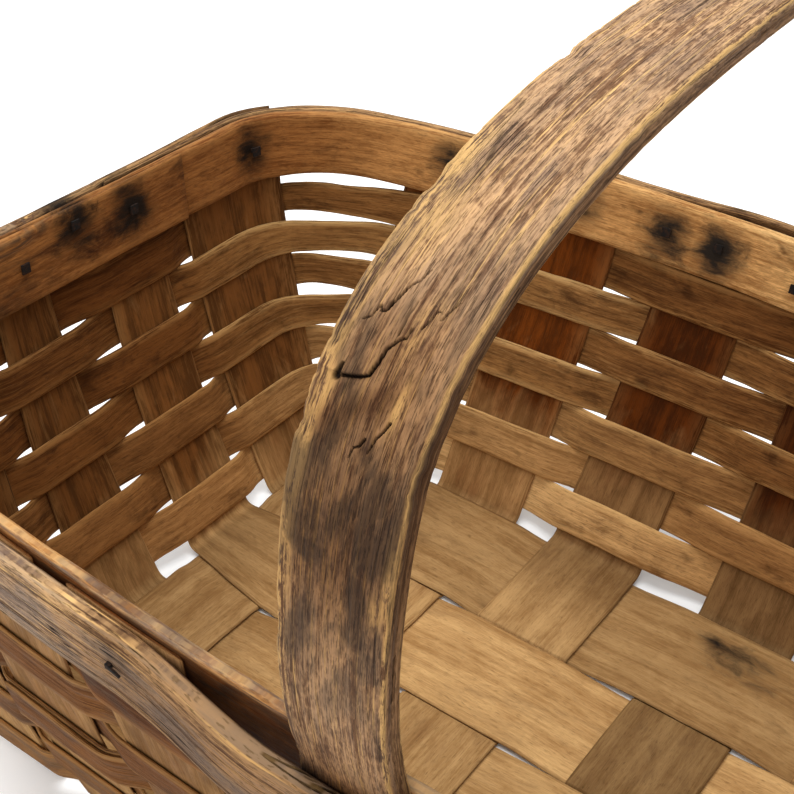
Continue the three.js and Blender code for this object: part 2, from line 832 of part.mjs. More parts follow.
for (let k = 0; k < uprights.length; k += 1) {
  const height = nailHeight + (k % 3) - 1;
  drive(`nail_upright_${k + 1}`, uprights[k].place(nailShares[k] ?? 0.5), height, uprights[k].node, 0.5 + k * 1.3);
}
for (const side of [-1, 1]) {
  const label = side < 0 ? 'near' : 'far';
  for (const step of [-1, 1]) {
    const x = handleCentreX(longWallPoint(side, 0, nailHeight).y) + step * legNailSpread;
    const place = (e, z) => longWallPoint(side, x + e, z);
    drive(`nail_leg_${label}_${step < 0 ? 1 : 2}`, place, nailHeight + step * legNailSpread, 'handle', 1 + step);
  }
}
drive('nail_rim_left', (e, z) => shortWallPoint(-1, -14.2 + e, z), nailHeight + 5.5, null, 2.2);
drive('nail_rim_far', (e, z) => longWallPoint(1, -60.5 + e, z), nailHeight - 1.5, null, 4.1);

// Holes for the nails
for (const [name, holes] of cutters) {
  const entry = pieces.get(name);
  let solid = toSolid(entry[0]);
  for (const hole of holes) solid = solid.subtract(hole);
  entry[0] = fromSolid(solid);
}

const group = new THREE.Group();
group.name = 'gathering_basket';
for (const [name, [geometry, material]] of pieces) {
  geometry.computeVertexNormals();
  const mesh = new THREE.Mesh(geometry, material);
  mesh.name = name;
  group.add(mesh);
}

export default group;
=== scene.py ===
"""Looks of a splint gathering basket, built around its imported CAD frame."""

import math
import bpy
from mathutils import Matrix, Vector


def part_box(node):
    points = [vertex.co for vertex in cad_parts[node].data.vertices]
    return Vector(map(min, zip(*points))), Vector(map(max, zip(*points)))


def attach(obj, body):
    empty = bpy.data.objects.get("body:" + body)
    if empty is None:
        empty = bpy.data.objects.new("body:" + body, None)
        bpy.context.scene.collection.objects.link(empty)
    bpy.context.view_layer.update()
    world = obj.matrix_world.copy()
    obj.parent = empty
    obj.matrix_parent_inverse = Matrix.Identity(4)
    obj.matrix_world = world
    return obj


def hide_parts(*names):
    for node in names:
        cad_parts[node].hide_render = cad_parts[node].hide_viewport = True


bl_info = {
    "name": "Gathering Basket",
    "version": (1, 0, 0),
    "blender": (4, 5, 0),
    "location": "3D View > Sidebar > Basket",
    "description": "Builds an aged splint basket with nailed rims and a bentwood handle",
    "category": "Add Mesh",
}

import bpy
import numpy as np
from mathutils import Vector

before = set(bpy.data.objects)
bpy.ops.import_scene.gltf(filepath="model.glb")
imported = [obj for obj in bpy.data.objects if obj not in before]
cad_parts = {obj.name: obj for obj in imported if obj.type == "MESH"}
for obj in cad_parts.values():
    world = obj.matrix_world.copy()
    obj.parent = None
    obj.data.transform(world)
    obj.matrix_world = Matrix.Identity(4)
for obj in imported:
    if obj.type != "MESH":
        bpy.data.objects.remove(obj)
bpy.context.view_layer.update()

MM = 0.001
UPRIGHTS = 20
ROW_COUNT = 7

# Uprights over which the ends of a weaver lap, and the upright at which each row starts
LAP_UPRIGHTS = 3
LAP_FIRST = (4, 11, 7, 13, 5, 10, 8)

# Starts of the random draws of each kind of piece
SEEDS = {"long": 100, "cross": 150, "weaver": 200, "inner_rim": 300, "outer_rim": 301, "handle": 400}

# Edges of the splints in millimetres. A cross splint has them on the floor and at the rim of each wall, and
# one is trimmed beside the legs of the handle. A long splint has them on the floor, and then at the foot and
# at the rim of each wall.
CROSS_SPLINTS = (
    {"floor": (-177.8, -138.7), "far": (-172, -134), "near": (-182, -150)},
    {"floor": (-126.7, -85.7), "far": (-120, -79), "near": (-143, -103)},
    {"floor": (-67.9, -26.4), "far": (-56, -20), "near": (-89.4, -48.1)},
    {"floor": (3.1, 44.5), "far": (7, 47), "near": (21, 58), "far_trim": 16, "near_trim": 24},
    {"floor": (69, 110), "far": (66, 104), "near": (80, 120)},
    {"floor": (136, 177.8), "far": (134, 172), "near": (148, 182)},
)
LONG_SPLINTS = (
    {"floor": (50.4, 108.9), "left": ((57.5, 104), (46, 102)), "right": ((58, 102), (48, 98))},
    {"floor": (-2.8, 49), "left": ((6, 44), (0, 30)), "right": ((4, 42), (1, 34))},
    {"floor": (-55.8, -4.2), "left": ((-51, -13.6), (-52, -30)), "right": ((-49, -12), (-47, -13))},
    {"floor": (-108.9, -57.2), "left": ((-104, -65), (-104, -66)), "right": ((-103, -64), (-100, -64))},
)

# Uprights with a corner after them and the quarter in which it lies, and those that stand on a short side
CORNER_AFTER = {0: (-1, 1), 6: (1, 1), 10: (1, -1), 16: (-1, -1)}
SHORT_SIDE_BEFORE = (0, 10)

# Slit above each row round the corners in millimetres, and its share at the uprights beside a corner
CORNER_SLITS = (0.4, 0.4, 0.4, 3.6, 1.8, 3.4, 5.4)
SLIT_AT_SHORT_SIDE = 0.9
SLIT_AT_MIDDLE = 0.7
SLIT_AT_LONG_SIDE = 0.35

# Shape of the walls: how much they belly, and how far the curve of a corner follows its sides
WALL_BELLY = 0.6
CORNER_HOLD = 0.58

# Small steps along and up the wall that find its direction, and share of a corner in a metre
ALONG_STEP, UP_STEP = 2e-5, 1e-4
CORNER_RATE = 20

# Tone of each splint: up the left or near wall, on the floor, up the right or far wall
LONG_TONES = ((1.3, 0.66, 0.9), (1.4, 1.0, 0.9), (1.12, 0.9, 0.9), (0.9, 0.85, 0.9))
CROSS_TONES = (
    (1.0, 0.66, 1.0), (0.9, 0.85, 1.1), (0.8, 0.78, 0.68), (1.0, 0.42, 0.52), (0.9, 0.7, 0.72),
    (0.9, 0.75, 0.8),
)

# Painted shade: how much darker the floor is at its edge, towards the walls
FLOOR_RIM_PAINTED_SHADE = 0.4

# Tone of the weavers from upright to upright, and of each row. Along the walls the tone is partly painted
# light
# and shade: lighter round the far left corner, where the light falls, and darker along the left wall.
WEAVER_TONES_AND_PAINTED_LIGHT = (
    (0, 1.0), (0.5, 1.12), (2, 1.05), (3, 0.9), (4, 0.74), (6, 0.85), (10, 0.85), (11, 0.68), (16, 0.58),
    (17, 0.6), (19, 0.6), (19.5, 0.7), (20, 1.0),
)
WEAVER_ROW_TONES = (1.15, 0.96, 1.04, 1.08, 0.95, 1.1, 0.83)

# Tone of each rim on the far and near sides, from left to right in millimetres. The inner rim's tone is
# partly
# painted shade: darker along the left wall, whose inner face is turned from the light.
RIM_TONES_AND_PAINTED_SHADE = {
    "inner_rim": {
        "far": (
            (-225, 0.58), (-215, 0.61), (-190, 0.84), (-150, 0.97), (-100, 1.14), (-60, 1.06), (-35, 1.12),
            (-8, 1.5), (20, 1.3), (230, 1.1),
        ),
        "near": ((-225, 0.6), (-205, 0.85), (-150, 1.05), (230, 1.1)),
    },
    "outer_rim": {
        "far": ((0, 1.0),),
        "near": ((-225, 1.0), (-150, 1.3), (-95, 1.3), (-66, 0.85), (-40, 0.82), (230, 0.85)),
    },
}

# Grey and dirt on the near side of the rims, and the painted shade on the faces in the gap between them
NEAR_RIM_GREY = 0.8
NEAR_RIM_DIRT = 0.4
GAP_PAINTED_SHADE = 0.35

# Range from which each piece takes its own part of the grain, and marks that a piece has unless it says more
GRAIN_SPAN = 4
CLEAN_MARKS = {"stain": 0.0, "crack": 0.0, "dirt_and_painted_shade": 0.0, "darkening_and_painted_shade": 0.0}

# Rounding of the nails' corners
NAIL_CORNER = 0.0002

# Stage: reach of the table, how far it stays under the feet, and its glow for the camera, by two distances
# from the middle and the strength at each. Then the sky, and the lamps with place, size and power.
TABLE_REACH = 6.0
TABLE_DROP = 0.0002
TABLE_GLOW = (0.15, 0.22, 0.0, 0.34)
TABLE_GLOW_COLOUR = (0.97, 0.993, 1.0, 1.0)
SKY_COLOUR = (0.97, 0.985, 1.0, 1.0)
SKY_STRENGTH = 0.42
LAMPS = (("skylight", (-0.35, 0.1, 1.7), 1.6, 32.0), ("window", (0.1, -1.4, 1.0), 1.2, 12.0))
LAMP_TARGET = (0, 0, 0.1)

# Camera: lens and sensor in millimetres, place, and turn in degrees
LENS, SENSOR = 69.24, 36.0
CAMERA_PLACE = (0.12736, -0.36184, 0.43288)
CAMERA_ANGLES = (54.0628, -5.1137, 34.3759)


def length(name, description, millimetres):
    """A size that a user may change, shown in scene units."""
    return bpy.props.FloatProperty(
        name=name, description=description, default=millimetres * MM, unit="LENGTH", precision=5
    )


def amount(name, description, default):
    """A share between nothing and a lot."""
    return bpy.props.FloatProperty(
        name=name, description=description, default=default, min=0.0, max=4.0, subtype="FACTOR"
    )


def colour(name, description, default):
    """A surface colour, in linear values."""
    return bpy.props.FloatVectorProperty(
        name=name, description=description, default=default, size=3, min=0.0, max=1.0, subtype="COLOR"
    )


class BasketSizes(bpy.types.PropertyGroup):
    """Sizes of the basket, the same as in its CAD model."""

    base_half_length: length("Base half length", "Middle of the short wall at the ground", 180.6)
    base_half_width: length("Base half width", "Middle of the long wall at the ground", 111.7)
    base_corner_long: length("Base corner, long side", "Reach of the corner at the ground", 4.5)
    base_corner_short: length("Base corner, short side", "Reach of the corner at the ground", 13)
    top_half_length: length("Top half length", "Middle of the short wall at the rim", 228.5)
    top_half_width: length("Top half width", "Middle of the long wall at the rim", 157.5)
    top_corner_long: length("Top corner, long side", "Reach of the corner at the rim", 54.7)
    top_corner_short: length("Top corner, short side", "Reach of the corner at the rim", 54.5)
    far_bow: length("Far bow", "How far the far side bows out", 40)
    near_bow: length("Near bow", "How far the near side bows out", 20)
    rim_height: length("Rim height", "Top of the inner rim above the ground", 156.1)
    inner_rim_width: length("Inner rim width", "Height of the inner rim band", 28.3)
    inner_rim_thickness: length("Inner rim thickness", "Thickness of the inner rim band", 4.8)
    outer_rim_width: length("Outer rim width", "Height of the outer rim band", 26.4)
    outer_rim_thickness: length("Outer rim thickness", "Thickness of the outer rim band", 6.5)
    outer_rim_drop: length("Outer rim drop", "How far the outer rim stays below the inner one", 0.6)
    splint_thickness: length("Splint thickness", "Thickness of every splint and weaver", 1.3)
    seat_gap: length("Seat gap", "Clearance between strips that touch", 0.35)
    first_row: length("First row", "Height at which the first row starts", 6.65)
    row_gap: length("Row gap", "Gap between two rows", 0.3)
    top_row_extra: length("Top row extra", "How much wider the strip of the top row is", 1.95)
    rim_clearance: length("Rim clearance", "Gap between the top row and the rims", 0.6)
    corner_dip: length("Corner dip", "How far the rows dip round the corners", 0.8)
    bend: length("Bend", "Reach of the bend between floor and wall", 2.5)
    wall_start: length("Wall start", "Height at which the walls start above the bend", 4.6)
    handle_width: length("Handle width", "Width of the handle strip", 27.8)
    handle_thickness: length("Handle thickness", "Thickness of the handle strip", 7.6)
    handle_half_span: length("Handle half span", "Widest reach of the handle", 178.6)
    handle_shoulder: length("Handle shoulder", "Height at which the handle is widest", 224.2)
    handle_top: length("Handle top", "Highest point of the handle", 307)
    handle_squareness: bpy.props.FloatProperty(
        name="Handle squareness", description="How square the top of the handle is",
        default=3.18, min=2.0, max=6.0,
    )
    handle_middle: length("Handle middle", "How far the handle stands off the middle of the basket", 4.2)
    handle_skew: length("Handle skew", "How far each leg stands off the middle of the handle", 4.1)


class BasketWear(bpy.types.PropertyGroup):
    """How worn and uneven the handmade strips are."""

    edge_wave: length("Edge wave", "How uneven the edges of the strips are", 0.35)
    row_wave: length("Row wave", "How far a weaver wanders up and down", 0.3)
    cup: length("Cup", "How far a strip is cupped over its width", 0.25)
    chip_depth: length("Chip depth", "Depth of the chips in the edge of the handle", 1.9)
    crack_depth: length("Crack depth", "Depth of the cracks in the handle", 1.3)
    stain: amount("Iron stain", "Strength of the black stains round the nails", 1.0)
    grain: amount("Grain relief", "Strength of the relief of the wood grain", 1.0)


class BasketColours(bpy.types.PropertyGroup):
    """Colours of the wood, the iron and the stage."""

    floor_light: colour("Floor, light", "Light wood of the floor splints", (0.66, 0.4, 0.165))
    floor_dark: colour("Floor, dark", "Dark wood of the floor splints", (0.36, 0.185, 0.062))
    wall_light: colour("Wall, light", "Light wood of the weavers", (0.347, 0.158, 0.046))
    wall_dark: colour("Wall, dark", "Dark wood of the weavers", (0.116, 0.045, 0.0116))
    # The deep colours darken the splints up the walls, and also paint shade on the floor's edges and in the
    # bends
    long_deep: colour("Long splints, deep", "Their darkened wood on the walls", (0.128, 0.048, 0.0115))
    cross_deep: colour("Cross splints, deep", "Their darkened wood on the walls", (0.122, 0.029, 0.0025))
    rim_light: colour("Rim, light", "Light wood of the rims", (0.74, 0.37, 0.12))
    rim_dark: colour("Rim, dark", "Dark wood of the rims", (0.26, 0.102, 0.026))
    outer_light: colour("Outer rim, light", "Light wood of the outer rim", (0.42, 0.235, 0.11))
    outer_dark: colour("Outer rim, dark", "Dark wood of the outer rim", (0.12, 0.06, 0.03))
    handle_light: colour("Handle, light", "Light wood of the handle", (0.56, 0.33, 0.165))
    handle_dark: colour("Handle, dark", "Dark wood of the handle", (0.15, 0.072, 0.034))
    handle_deep: colour("Handle, deep", "Darkened wood on the flanks of the handle", (0.13, 0.057, 0.022))
    golden: colour("Worn edge", "Bare wood where edges are worn", (0.7, 0.42, 0.16))
    # Grime is old dirt, and on the handle's feet between the rims it also paints shade
    grime_and_painted_shade: colour("Grime", "Old dirt in the wood", (0.05, 0.034, 0.025))
    grey: colour("Weathered grey", "Grey film on the outside", (0.17, 0.125, 0.1))
    stain: colour("Iron stain", "Black stain round a nail", (0.018, 0.012, 0.008))
    iron: colour("Iron", "Rusted iron of the nails", (0.011, 0.009, 0.008))
    rust: colour("Rust", "Paler rust on the nails", (0.035, 0.016, 0.009))
    table: colour("Table", "Surface under the basket", (0.88, 0.875, 0.865))


def settings(context):
    """Sizes, wear and colours of the basket, as the user has set them."""
    scene = context.scene
    return scene.basket_sizes, scene.basket_wear, scene.basket_colours


def ease(t):
    t = min(max(t, 0.0), 1.0)
    return 0.5 - 0.5 * math.cos(math.pi * t)


def mix(a, b, t):
    return a + (b - a) * t


def unit(v):
    return v / np.linalg.norm(v)


def column(values):
    """One value for each ring of a strip, the same over its section."""
    return np.asarray(values)[:, None]


class Wander:
    """Smooth random waviness along a strip, about one at its largest."""

    def __init__(self, rng, longest, count=5):
        steps = np.arange(1, count + 1)
        self.rate = 2 * math.pi / (longest / steps ** 1.3) * rng.uniform(0.8, 1.25, count)
        self.phase = rng.uniform(0, 2 * math.pi, count)
        self.size = 1.0 / steps
        self.size /= self.size.sum()

    def __call__(self, s):
        return np.sum(self.size * np.sin(np.multiply.outer(s, self.rate) + self.phase), axis=-1)


class Trail:
    """Length travelled from point to point along a strip."""

    def __init__(self):
        self.length = 0.0
        self.last = None

    def go(self, point):
        if self.last is not None:
            self.length += float(np.linalg.norm(point - self.last))
        self.last = point
        return self.length


class Cut:
    """Place where an upright strip is cut across: its middle and outward direction, and both its edges."""

    def __init__(self, centre, level, edges):
        self.centre = centre
        self.level = level
        self.edges = edges

    def at(self, share):
        """Point and outward direction at a share of the strip's width."""
        (low, out_low), (high, out_high) = self.edges
        return mix(low, high, share), mix(out_low, out_high, share)


class Wall:
    """Middle surface of the basket's wall, as the CAD model has it."""

    def __init__(self, sizes):
        self.s = sizes
        inner_bottom = sizes.rim_height - sizes.inner_rim_width
        self.outer_bottom = sizes.rim_height - sizes.outer_rim_drop - sizes.outer_rim_width
        rows_top = min(inner_bottom, self.outer_bottom) - sizes.rim_clearance
        rows = rows_top - sizes.top_row_extra - sizes.first_row + sizes.row_gap
        self.row_pitch = rows / ROW_COUNT
        self.weaver_width = self.row_pitch - sizes.row_gap
        self.trim_start = sizes.first_row + ROW_COUNT * self.row_pitch - 0.1 * MM
        self.handle_bulge = sizes.handle_thickness - sizes.splint_thickness

    def handle_x(self, y):
        """Middle of the handle over its length, because it stands a little askew."""
        return self.s.handle_middle - self.s.handle_skew * y / self.s.handle_half_span

    def spread(self, z):
        """Share of the way from the base outline to the rim outline."""
        share = z / self.s.rim_height
        return share + WALL_BELLY * share * (1 - share)

    def outline(self, z, side):
        """Half length, half width, bow and both reaches of a corner, at a height on the far or near side."""
        s = self.s
        t = self.spread(z)
        return (
            mix(s.base_half_length, s.top_half_length, t),
            mix(s.base_half_width, s.top_half_width, t),
            (s.far_bow if side > 0 else s.near_bow) * t,
            mix(s.base_corner_long, s.top_corner_long, t),
            mix(s.base_corner_short, s.top_corner_short, t),
        )

    @staticmethod
    def corner(o, u):
        """Point at a share of the way round a corner, from the long side to the short side."""
        half_length, half_width, bow, corner_long, corner_short = o
        x0 = half_length - corner_long
        y0 = half_width - bow * (x0 / half_length) ** 2
        y3 = y0 - corner_short
        knee = y0 - 2 * bow * x0 / half_length ** 2 * corner_long
        x1 = mix(x0, half_length, CORNER_HOLD)
        y1 = mix(y0, knee, CORNER_HOLD)
        y2 = mix(y3, knee, CORNER_HOLD)
        v = 1 - u
        a, b, c, d = v ** 3, 3 * v * v * u, 3 * v * u * u, u ** 3
        return a * x0 + b * x1 + (c + d) * half_length, a * y0 + b * y1 + c * y2 + d * y3

    def corner_share(self, o, axis, value):
        """Share of the way round a corner at which x or y has a value."""
        low, high = 0.0, 1.0
        for _ in range(26):
            middle = (low + high) / 2
            found = self.corner(o, middle)[axis]
            before = found < value if axis == 0 else found > value
            if before:
                low = middle
            else:
                high = middle
        return (low + high) / 2

    def long(self, side, x, z):
        """Point of the far or near wall, and on round its corners."""
        o = self.outline(z, side)
        if abs(x) <= o[0] - o[3]:
            return np.array((x, side * (o[1] - o[2] * (x / o[0]) ** 2), z))
        cx, cy = self.corner(o, self.corner_share(o, 0, abs(x)))
        return np.array((math.copysign(cx, x), side * cy, z))

    def short(self, side, y, z):
        """Point of the left or right wall, and on round its corners."""
        o = self.outline(z, 1 if y >= 0 else -1)
        if abs(y) <= self.corner(o, 1.0)[1]:
            return np.array((side * o[0], y, z))
        cx, cy = self.corner(o, self.corner_share(o, 1, abs(y)))
        return np.array((side * cx, math.copysign(cy, y), z))

    def frame(self, place, z):
        """Point and outward direction of the wall at a place."""
        here = place(0.0, z)
        along = place(ALONG_STEP, z) - here
        upward = place(0.0, z + UP_STEP) - here
        out = unit(np.cross(along, upward))
        if out[0] * here[0] + out[1] * here[1] < 0:
            out = -out
        return here, out

    def cut(self, place, z_low, z_high, corner):
        """Cut through an upright strip, which stands level round the corners."""
        centre, out = self.frame(place, (z_low + z_high) / 2)
        level = unit(np.array((out[0], out[1], 0.0)))
        edges = []
        for z in (z_low, z_high):
            at, out = self.frame(place, z)
            at = mix(at, np.array((centre[0], centre[1], z)), corner)
            edges.append((at, unit(mix(out, level, corner))))
        return Cut(centre, level, edges)

    def cross_edges(self, k, side, z):
        """Where a cross splint's edges are along its wall, at a height."""
        s = CROSS_SPLINTS[k]
        top = s["far"] if side > 0 else s["near"]
        a, b = (mix(s["floor"][j], top[j], z / self.s.rim_height) * MM for j in (0, 1))
        trim = s.get("far_trim" if side > 0 else "near_trim")
        if trim and z > self.trim_start:
            a = max(a, trim * MM)
        return a, b

    def long_edges(self, k, side, z):
        """Where a long splint's edges are along its wall, at a height."""
        base, top = LONG_SPLINTS[k]["left" if side < 0 else "right"]
        return tuple(mix(base[j], top[j], z / self.s.rim_height) * MM for j in (0, 1))

    def cross_place(self, k, side, share):
        return lambda e, z: self.long(side, mix(*self.cross_edges(k, side, z), share) + e, z)

    def long_place(self, k, side, share):
        return lambda e, z: self.short(side, mix(*self.long_edges(k, side, z), share) + e, z)

    def uprights(self):
        """The twenty uprights in the order in which the weavers pass them."""
        order = [("long", 0, -1, False)]
        order += [("cross", k, 1, False) for k in range(6)]
        order += [("long", k, 1, True) for k in range(4)]
        order += [("cross", k, -1, True) for k in range(5, -1, -1)]
        order += [("long", k, -1, False) for k in range(3, 0, -1)]
        return order

    def upright_place(self, k, share):
        kind, number, side, flip = self.uprights()[k % UPRIGHTS]
        share = 1 - share if flip else share
        if kind == "long":
            return self.long_place(number, side, share)
        return self.cross_place(number, side, share)

    def between(self, k, share):
        """A place between upright k and the next one."""
        before = self.upright_place(k, 1.0)
        after = self.upright_place(k + 1, 0.0)
        if k % UPRIGHTS in CORNER_AFTER:
            return self.corner_place(k % UPRIGHTS, share)
        kind, _, side, _ = self.uprights()[k % UPRIGHTS]
        axis = 1 if kind == "long" else 0
        wall = self.short if kind == "long" else self.long
        return lambda e, z: wall(side, mix(before(0, z)[axis], after(0, z)[axis], share) + e, z)

    def corner_place(self, k, share):
        """A place in the corner after upright k."""
        sx, sy = CORNER_AFTER[k]
        before = self.upright_place(k, 1.0)
        after = self.upright_place(k + 1, 0.0)
        from_short = k in SHORT_SIDE_BEFORE

        def place(e, z):
            o = self.outline(z, sy)
            long_edge = abs((after if from_short else before)(0, z)[0])
            short_edge = abs((before if from_short else after)(0, z)[1])
            first = self.corner_share(o, 0, long_edge) if long_edge > o[0] - o[3] else 0.0
            last = self.corner_share(o, 1, short_edge) if short_edge > self.corner(o, 1.0)[1] else 1.0
            t = 1 - share if from_short else share
            cx, cy = self.corner(o, mix(first, last, t) + e * CORNER_RATE)
            return np.array((sx * cx, sy * cy, z))

        return place


def strip_object(name, rings, along, across, marks, material, seed):
    """Closed strip through rings of points, with coordinates along and across its grain, and its marks."""
    rings = np.asarray(rings)
    n, m = rings.shape[:2]
    index = np.arange(n * m).reshape(n, m)
    turned = np.roll(index, -1, axis=1)
    quads = np.stack([index[:-1], turned[:-1], turned[1:], index[1:]], axis=-1).reshape(-1, 4)
    faces = [tuple(q) for q in quads] + [tuple(index[0][::-1]), tuple(index[-1])]
    mesh = bpy.data.meshes.new(name)
    mesh.from_pydata(rings.reshape(-1, 3).tolist(), [], faces)
    mesh.update()
    shift = np.random.default_rng(seed).uniform(0, GRAIN_SPAN, 2)
    flat = [np.broadcast_to(values, (n, m)) + by for values, by in zip((column(along), across), shift)]
    flat = np.stack(flat, axis=-1).reshape(-1, 2)
    layer = mesh.uv_layers.new(name="grain")
    corners = np.empty(len(mesh.loops), dtype=np.int64)
    mesh.loops.foreach_get("vertex_index", corners)
    layer.data.foreach_set("uv", flat[corners].astype(np.float32).ravel())
    for mark, values in {**CLEAN_MARKS, **marks}.items():
        attribute = mesh.attributes.new(mark, "FLOAT", "POINT")
        attribute.data.foreach_set("value", np.broadcast_to(values, (n, m)).astype(np.float32).ravel())
    mesh.polygons.foreach_set("use_smooth", [True] * len(mesh.polygons))
    piece = bpy.data.objects.new(name, mesh)
    bpy.context.collection.objects.link(piece)
    mesh.materials.append(material)
    if signed_volume(mesh) < 0:
        mesh.flip_normals()
    return piece


def signed_volume(mesh):
    """Six times the volume in the mesh, negative when its faces look inwards."""
    points = np.empty(len(mesh.vertices) * 3)
    mesh.vertices.foreach_get("co", points)
    points = points.reshape(-1, 3)
    mesh.calc_loop_triangles()
    tris = np.empty(len(mesh.loop_triangles) * 3, dtype=np.int64)
    mesh.loop_triangles.foreach_get("vertices", tris)
    p = points[tris.reshape(-1, 3)]
    return float(np.einsum("ij,ij->i", p[:, 0], np.cross(p[:, 1], p[:, 2])).sum())


def finish_piece(piece, node):
    """Attach a dressed piece to the root body, and hide the solid that it stands for."""
    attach(piece, "root")
    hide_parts(node)


# Section of a strip: share over the width, share over the thickness
STRIP_SECTION = tuple(
    [(t, 1.0) for t in (-0.93, -0.62, -0.3, 0.0, 0.3, 0.62, 0.93)]
    + [(1.0, 0.35), (1.0, -0.35)]
    + [(t, -1.0) for t in (0.93, 0.62, 0.3, 0.0, -0.3, -0.62, -0.93)]
    + [(-1.0, -0.35), (-1.0, 0.35)]
)

# Points of that section near its middle, and at its last and its first edge
NEAR_MIDDLE, LAST_EDGE, FIRST_EDGE = 4, 8, 15

# Share of the width from which a strip counts as edge
EDGE_FROM = 0.62


def section_marks(section):
    """Share over the width, and how far each point is on the outer face and at an edge."""
    across = np.array([t for t, _ in section])
    outer = np.array([(o + 1) / 2 for _, o in section])
    edge = np.clip((np.abs(across) - EDGE_FROM) / (1 - EDGE_FROM), 0, 1)
    return across, outer, edge


class NodeBench:
    """Short ways to put the nodes of a material or a world together."""

    def __init__(self, owner, shader="Principled BSDF"):
        owner.use_nodes = True
        self.owner = owner
        self.nodes = owner.node_tree.nodes
        self.links = owner.node_tree.links
        self.shader = self.nodes[shader]

    def set(self, socket, value):
        """Link a socket, or give it a plain value."""
        if isinstance(value, bpy.types.NodeSocket):
            self.links.new(value, socket)
        else:
            socket.default_value = value

    def paint(self, **values):
        """Set sockets of the shader, named with underscores for spaces."""
        for name, value in values.items():
            self.set(self.shader.inputs[name.replace("_", " ")], value)

    def attribute(self, name):
        node = self.nodes.new("ShaderNodeAttribute")
        node.attribute_name = name
        return node.outputs["Fac"]

    def math(self, operation, a, b=0.0):
        node = self.nodes.new("ShaderNodeMath")
        node.operation = operation
        self.set(node.inputs[0], a)
        self.set(node.inputs[1], b)
        return node.outputs[0]

    def plus(self, a, b):
        return self.math("ADD", a, b)

    def minus(self, a, b):
        return self.math("SUBTRACT", a, b)

    def times(self, a, b):
        return self.math("MULTIPLY", a, b)

    def ramp(self, value, low, high, start=0.0, end=1.0, smooth=True):
        node = self.nodes.new("ShaderNodeMapRange")
        node.interpolation_type = "SMOOTHSTEP" if smooth else "LINEAR"
        self.set(node.inputs["Value"], value)
        for name, setting in (("From Min", low), ("From Max", high), ("To Min", start), ("To Max", end)):
            node.inputs[name].default_value = setting
        return node.outputs["Result"]

    def fade(self, value, effect):
        return self.ramp(value, *FADES[effect])

    def blend(self, factor, a, b, mode="MIX"):
        node = self.nodes.new("ShaderNodeMix")
        node.data_type = "RGBA"
        node.blend_type = mode
        node.clamp_factor = True
        self.set(node.inputs["Factor"], factor)
        colours = [socket for socket in node.inputs if socket.type == "RGBA"]
        for socket, value in zip(colours, (a, b)):
            self.set(socket, value if isinstance(value, bpy.types.NodeSocket) else (*value, 1.0))
        return [socket for socket in node.outputs if socket.type == "RGBA"][0]

    def grain_vector(self, along, across, depth):
        """Coordinates stretched along the grain, with another slice for each face."""
        uv = self.nodes.new("ShaderNodeUVMap")
        uv.uv_map = "grain"
        split = self.nodes.new("ShaderNodeSeparateXYZ")
        self.links.new(uv.outputs["UV"], split.inputs[0])
        join = self.nodes.new("ShaderNodeCombineXYZ")
        self.set(join.inputs[0], self.times(split.outputs[0], along))
        self.set(join.inputs[1], self.times(split.outputs[1], across))
        self.set(join.inputs[2], self.times(self.attribute("outer"), depth))
        return join.outputs[0]

    def noise(self, vector, detail, roughness, distortion=0.0):
        node = self.nodes.new("ShaderNodeTexNoise")
        self.links.new(vector, node.inputs["Vector"])
        values = (("Scale", 1.0), ("Detail", detail), ("Roughness", roughness), ("Distortion", distortion))
        for name, setting in values:
            node.inputs[name].default_value = setting
        return node.outputs["Fac"]

    def bump(self, height, strength, distance):
        node = self.nodes.new("ShaderNodeBump")
        node.inputs["Strength"].default_value = strength
        node.inputs["Distance"].default_value = distance
        self.links.new(height, node.inputs["Height"])
        return node.outputs["Normal"]


# Patterns in the wood: rate along and across the grain and between faces, then detail, roughness, distortion
WOOD_PATTERNS = {
    "broad": (6.0, 90.0, 3.1, 3.0, 0.6, 0.5),
    "streak": (34.0, 560.0, 5.3, 4.0, 0.7, 0.25),
    "fibre": (90.0, 2300.0, 2.7, 2.0, 0.7, 0.0),
    "patch": (26.0, 62.0, 7.9, 5.0, 0.62, 0.7),
    "blot": (85.0, 150.0, 6.3, 4.0, 0.65, 0.5),
    "fleck": (300.0, 3900.0, 4.4, 1.0, 0.5, 0.0),
    "grit": (260.0, 900.0, 8.2, 3.0, 0.7, 0.4),
    "bare": (70.0, 1250.0, 9.1, 3.0, 0.65, 0.2),
    "seam": (8.0, 330.0, 1.7, 2.0, 0.5, 0.5),
}
STRETCHED_PATTERNS = ("streak", "fibre", "bare")

# Values of a pattern or a mark at which each effect starts, and at which it is full
FADES = {
    "bare": (0.55, 0.67), "sunken": (0.43, 0.57), "mottle": (0.5, 0.66), "outside": (0.4, 0.8),
    "film": (0.42, 0.6), "seam": (0.014, 0.002), "split": (0.46, 0.58), "pore": (0.6, 0.68),
    "rub": (0.44, 0.53), "dirt_and_painted_shade": (0.44, 0.56), "stain": (0.2, 0.92), "rust": (0.45, 0.65),
}

# Deep wood as shares of the dark wood, and its own darker and paler grain as shares of it
DEEP_OF_DARK = (0.34, 0.27, 0.22)
SUNKEN_OF_DEEP = (0.58, 1.36)

# Tone of splits, pores and cracks as shares of the dark wood, and how much patches stir the darkening and
# painted shade
SPLIT_TONE, PORE_TONE, CRACK_TONE = 0.15, 0.25, 0.08
DUSK_STIR = 1.3

# Parts of the relief, its depth in metres, and two values of the streaks with the roughness at each
RELIEF_PARTS = {"streak": 0.5, "fibre": 0.35, "pore": 0.4, "blot": 0.4}
WOOD_RELIEF, IRON_RELIEF = 0.0006, 0.0002
WOOD_ROUGHNESS = (0.3, 0.7, 0.82, 0.58)
RUST_RATE = 900.0


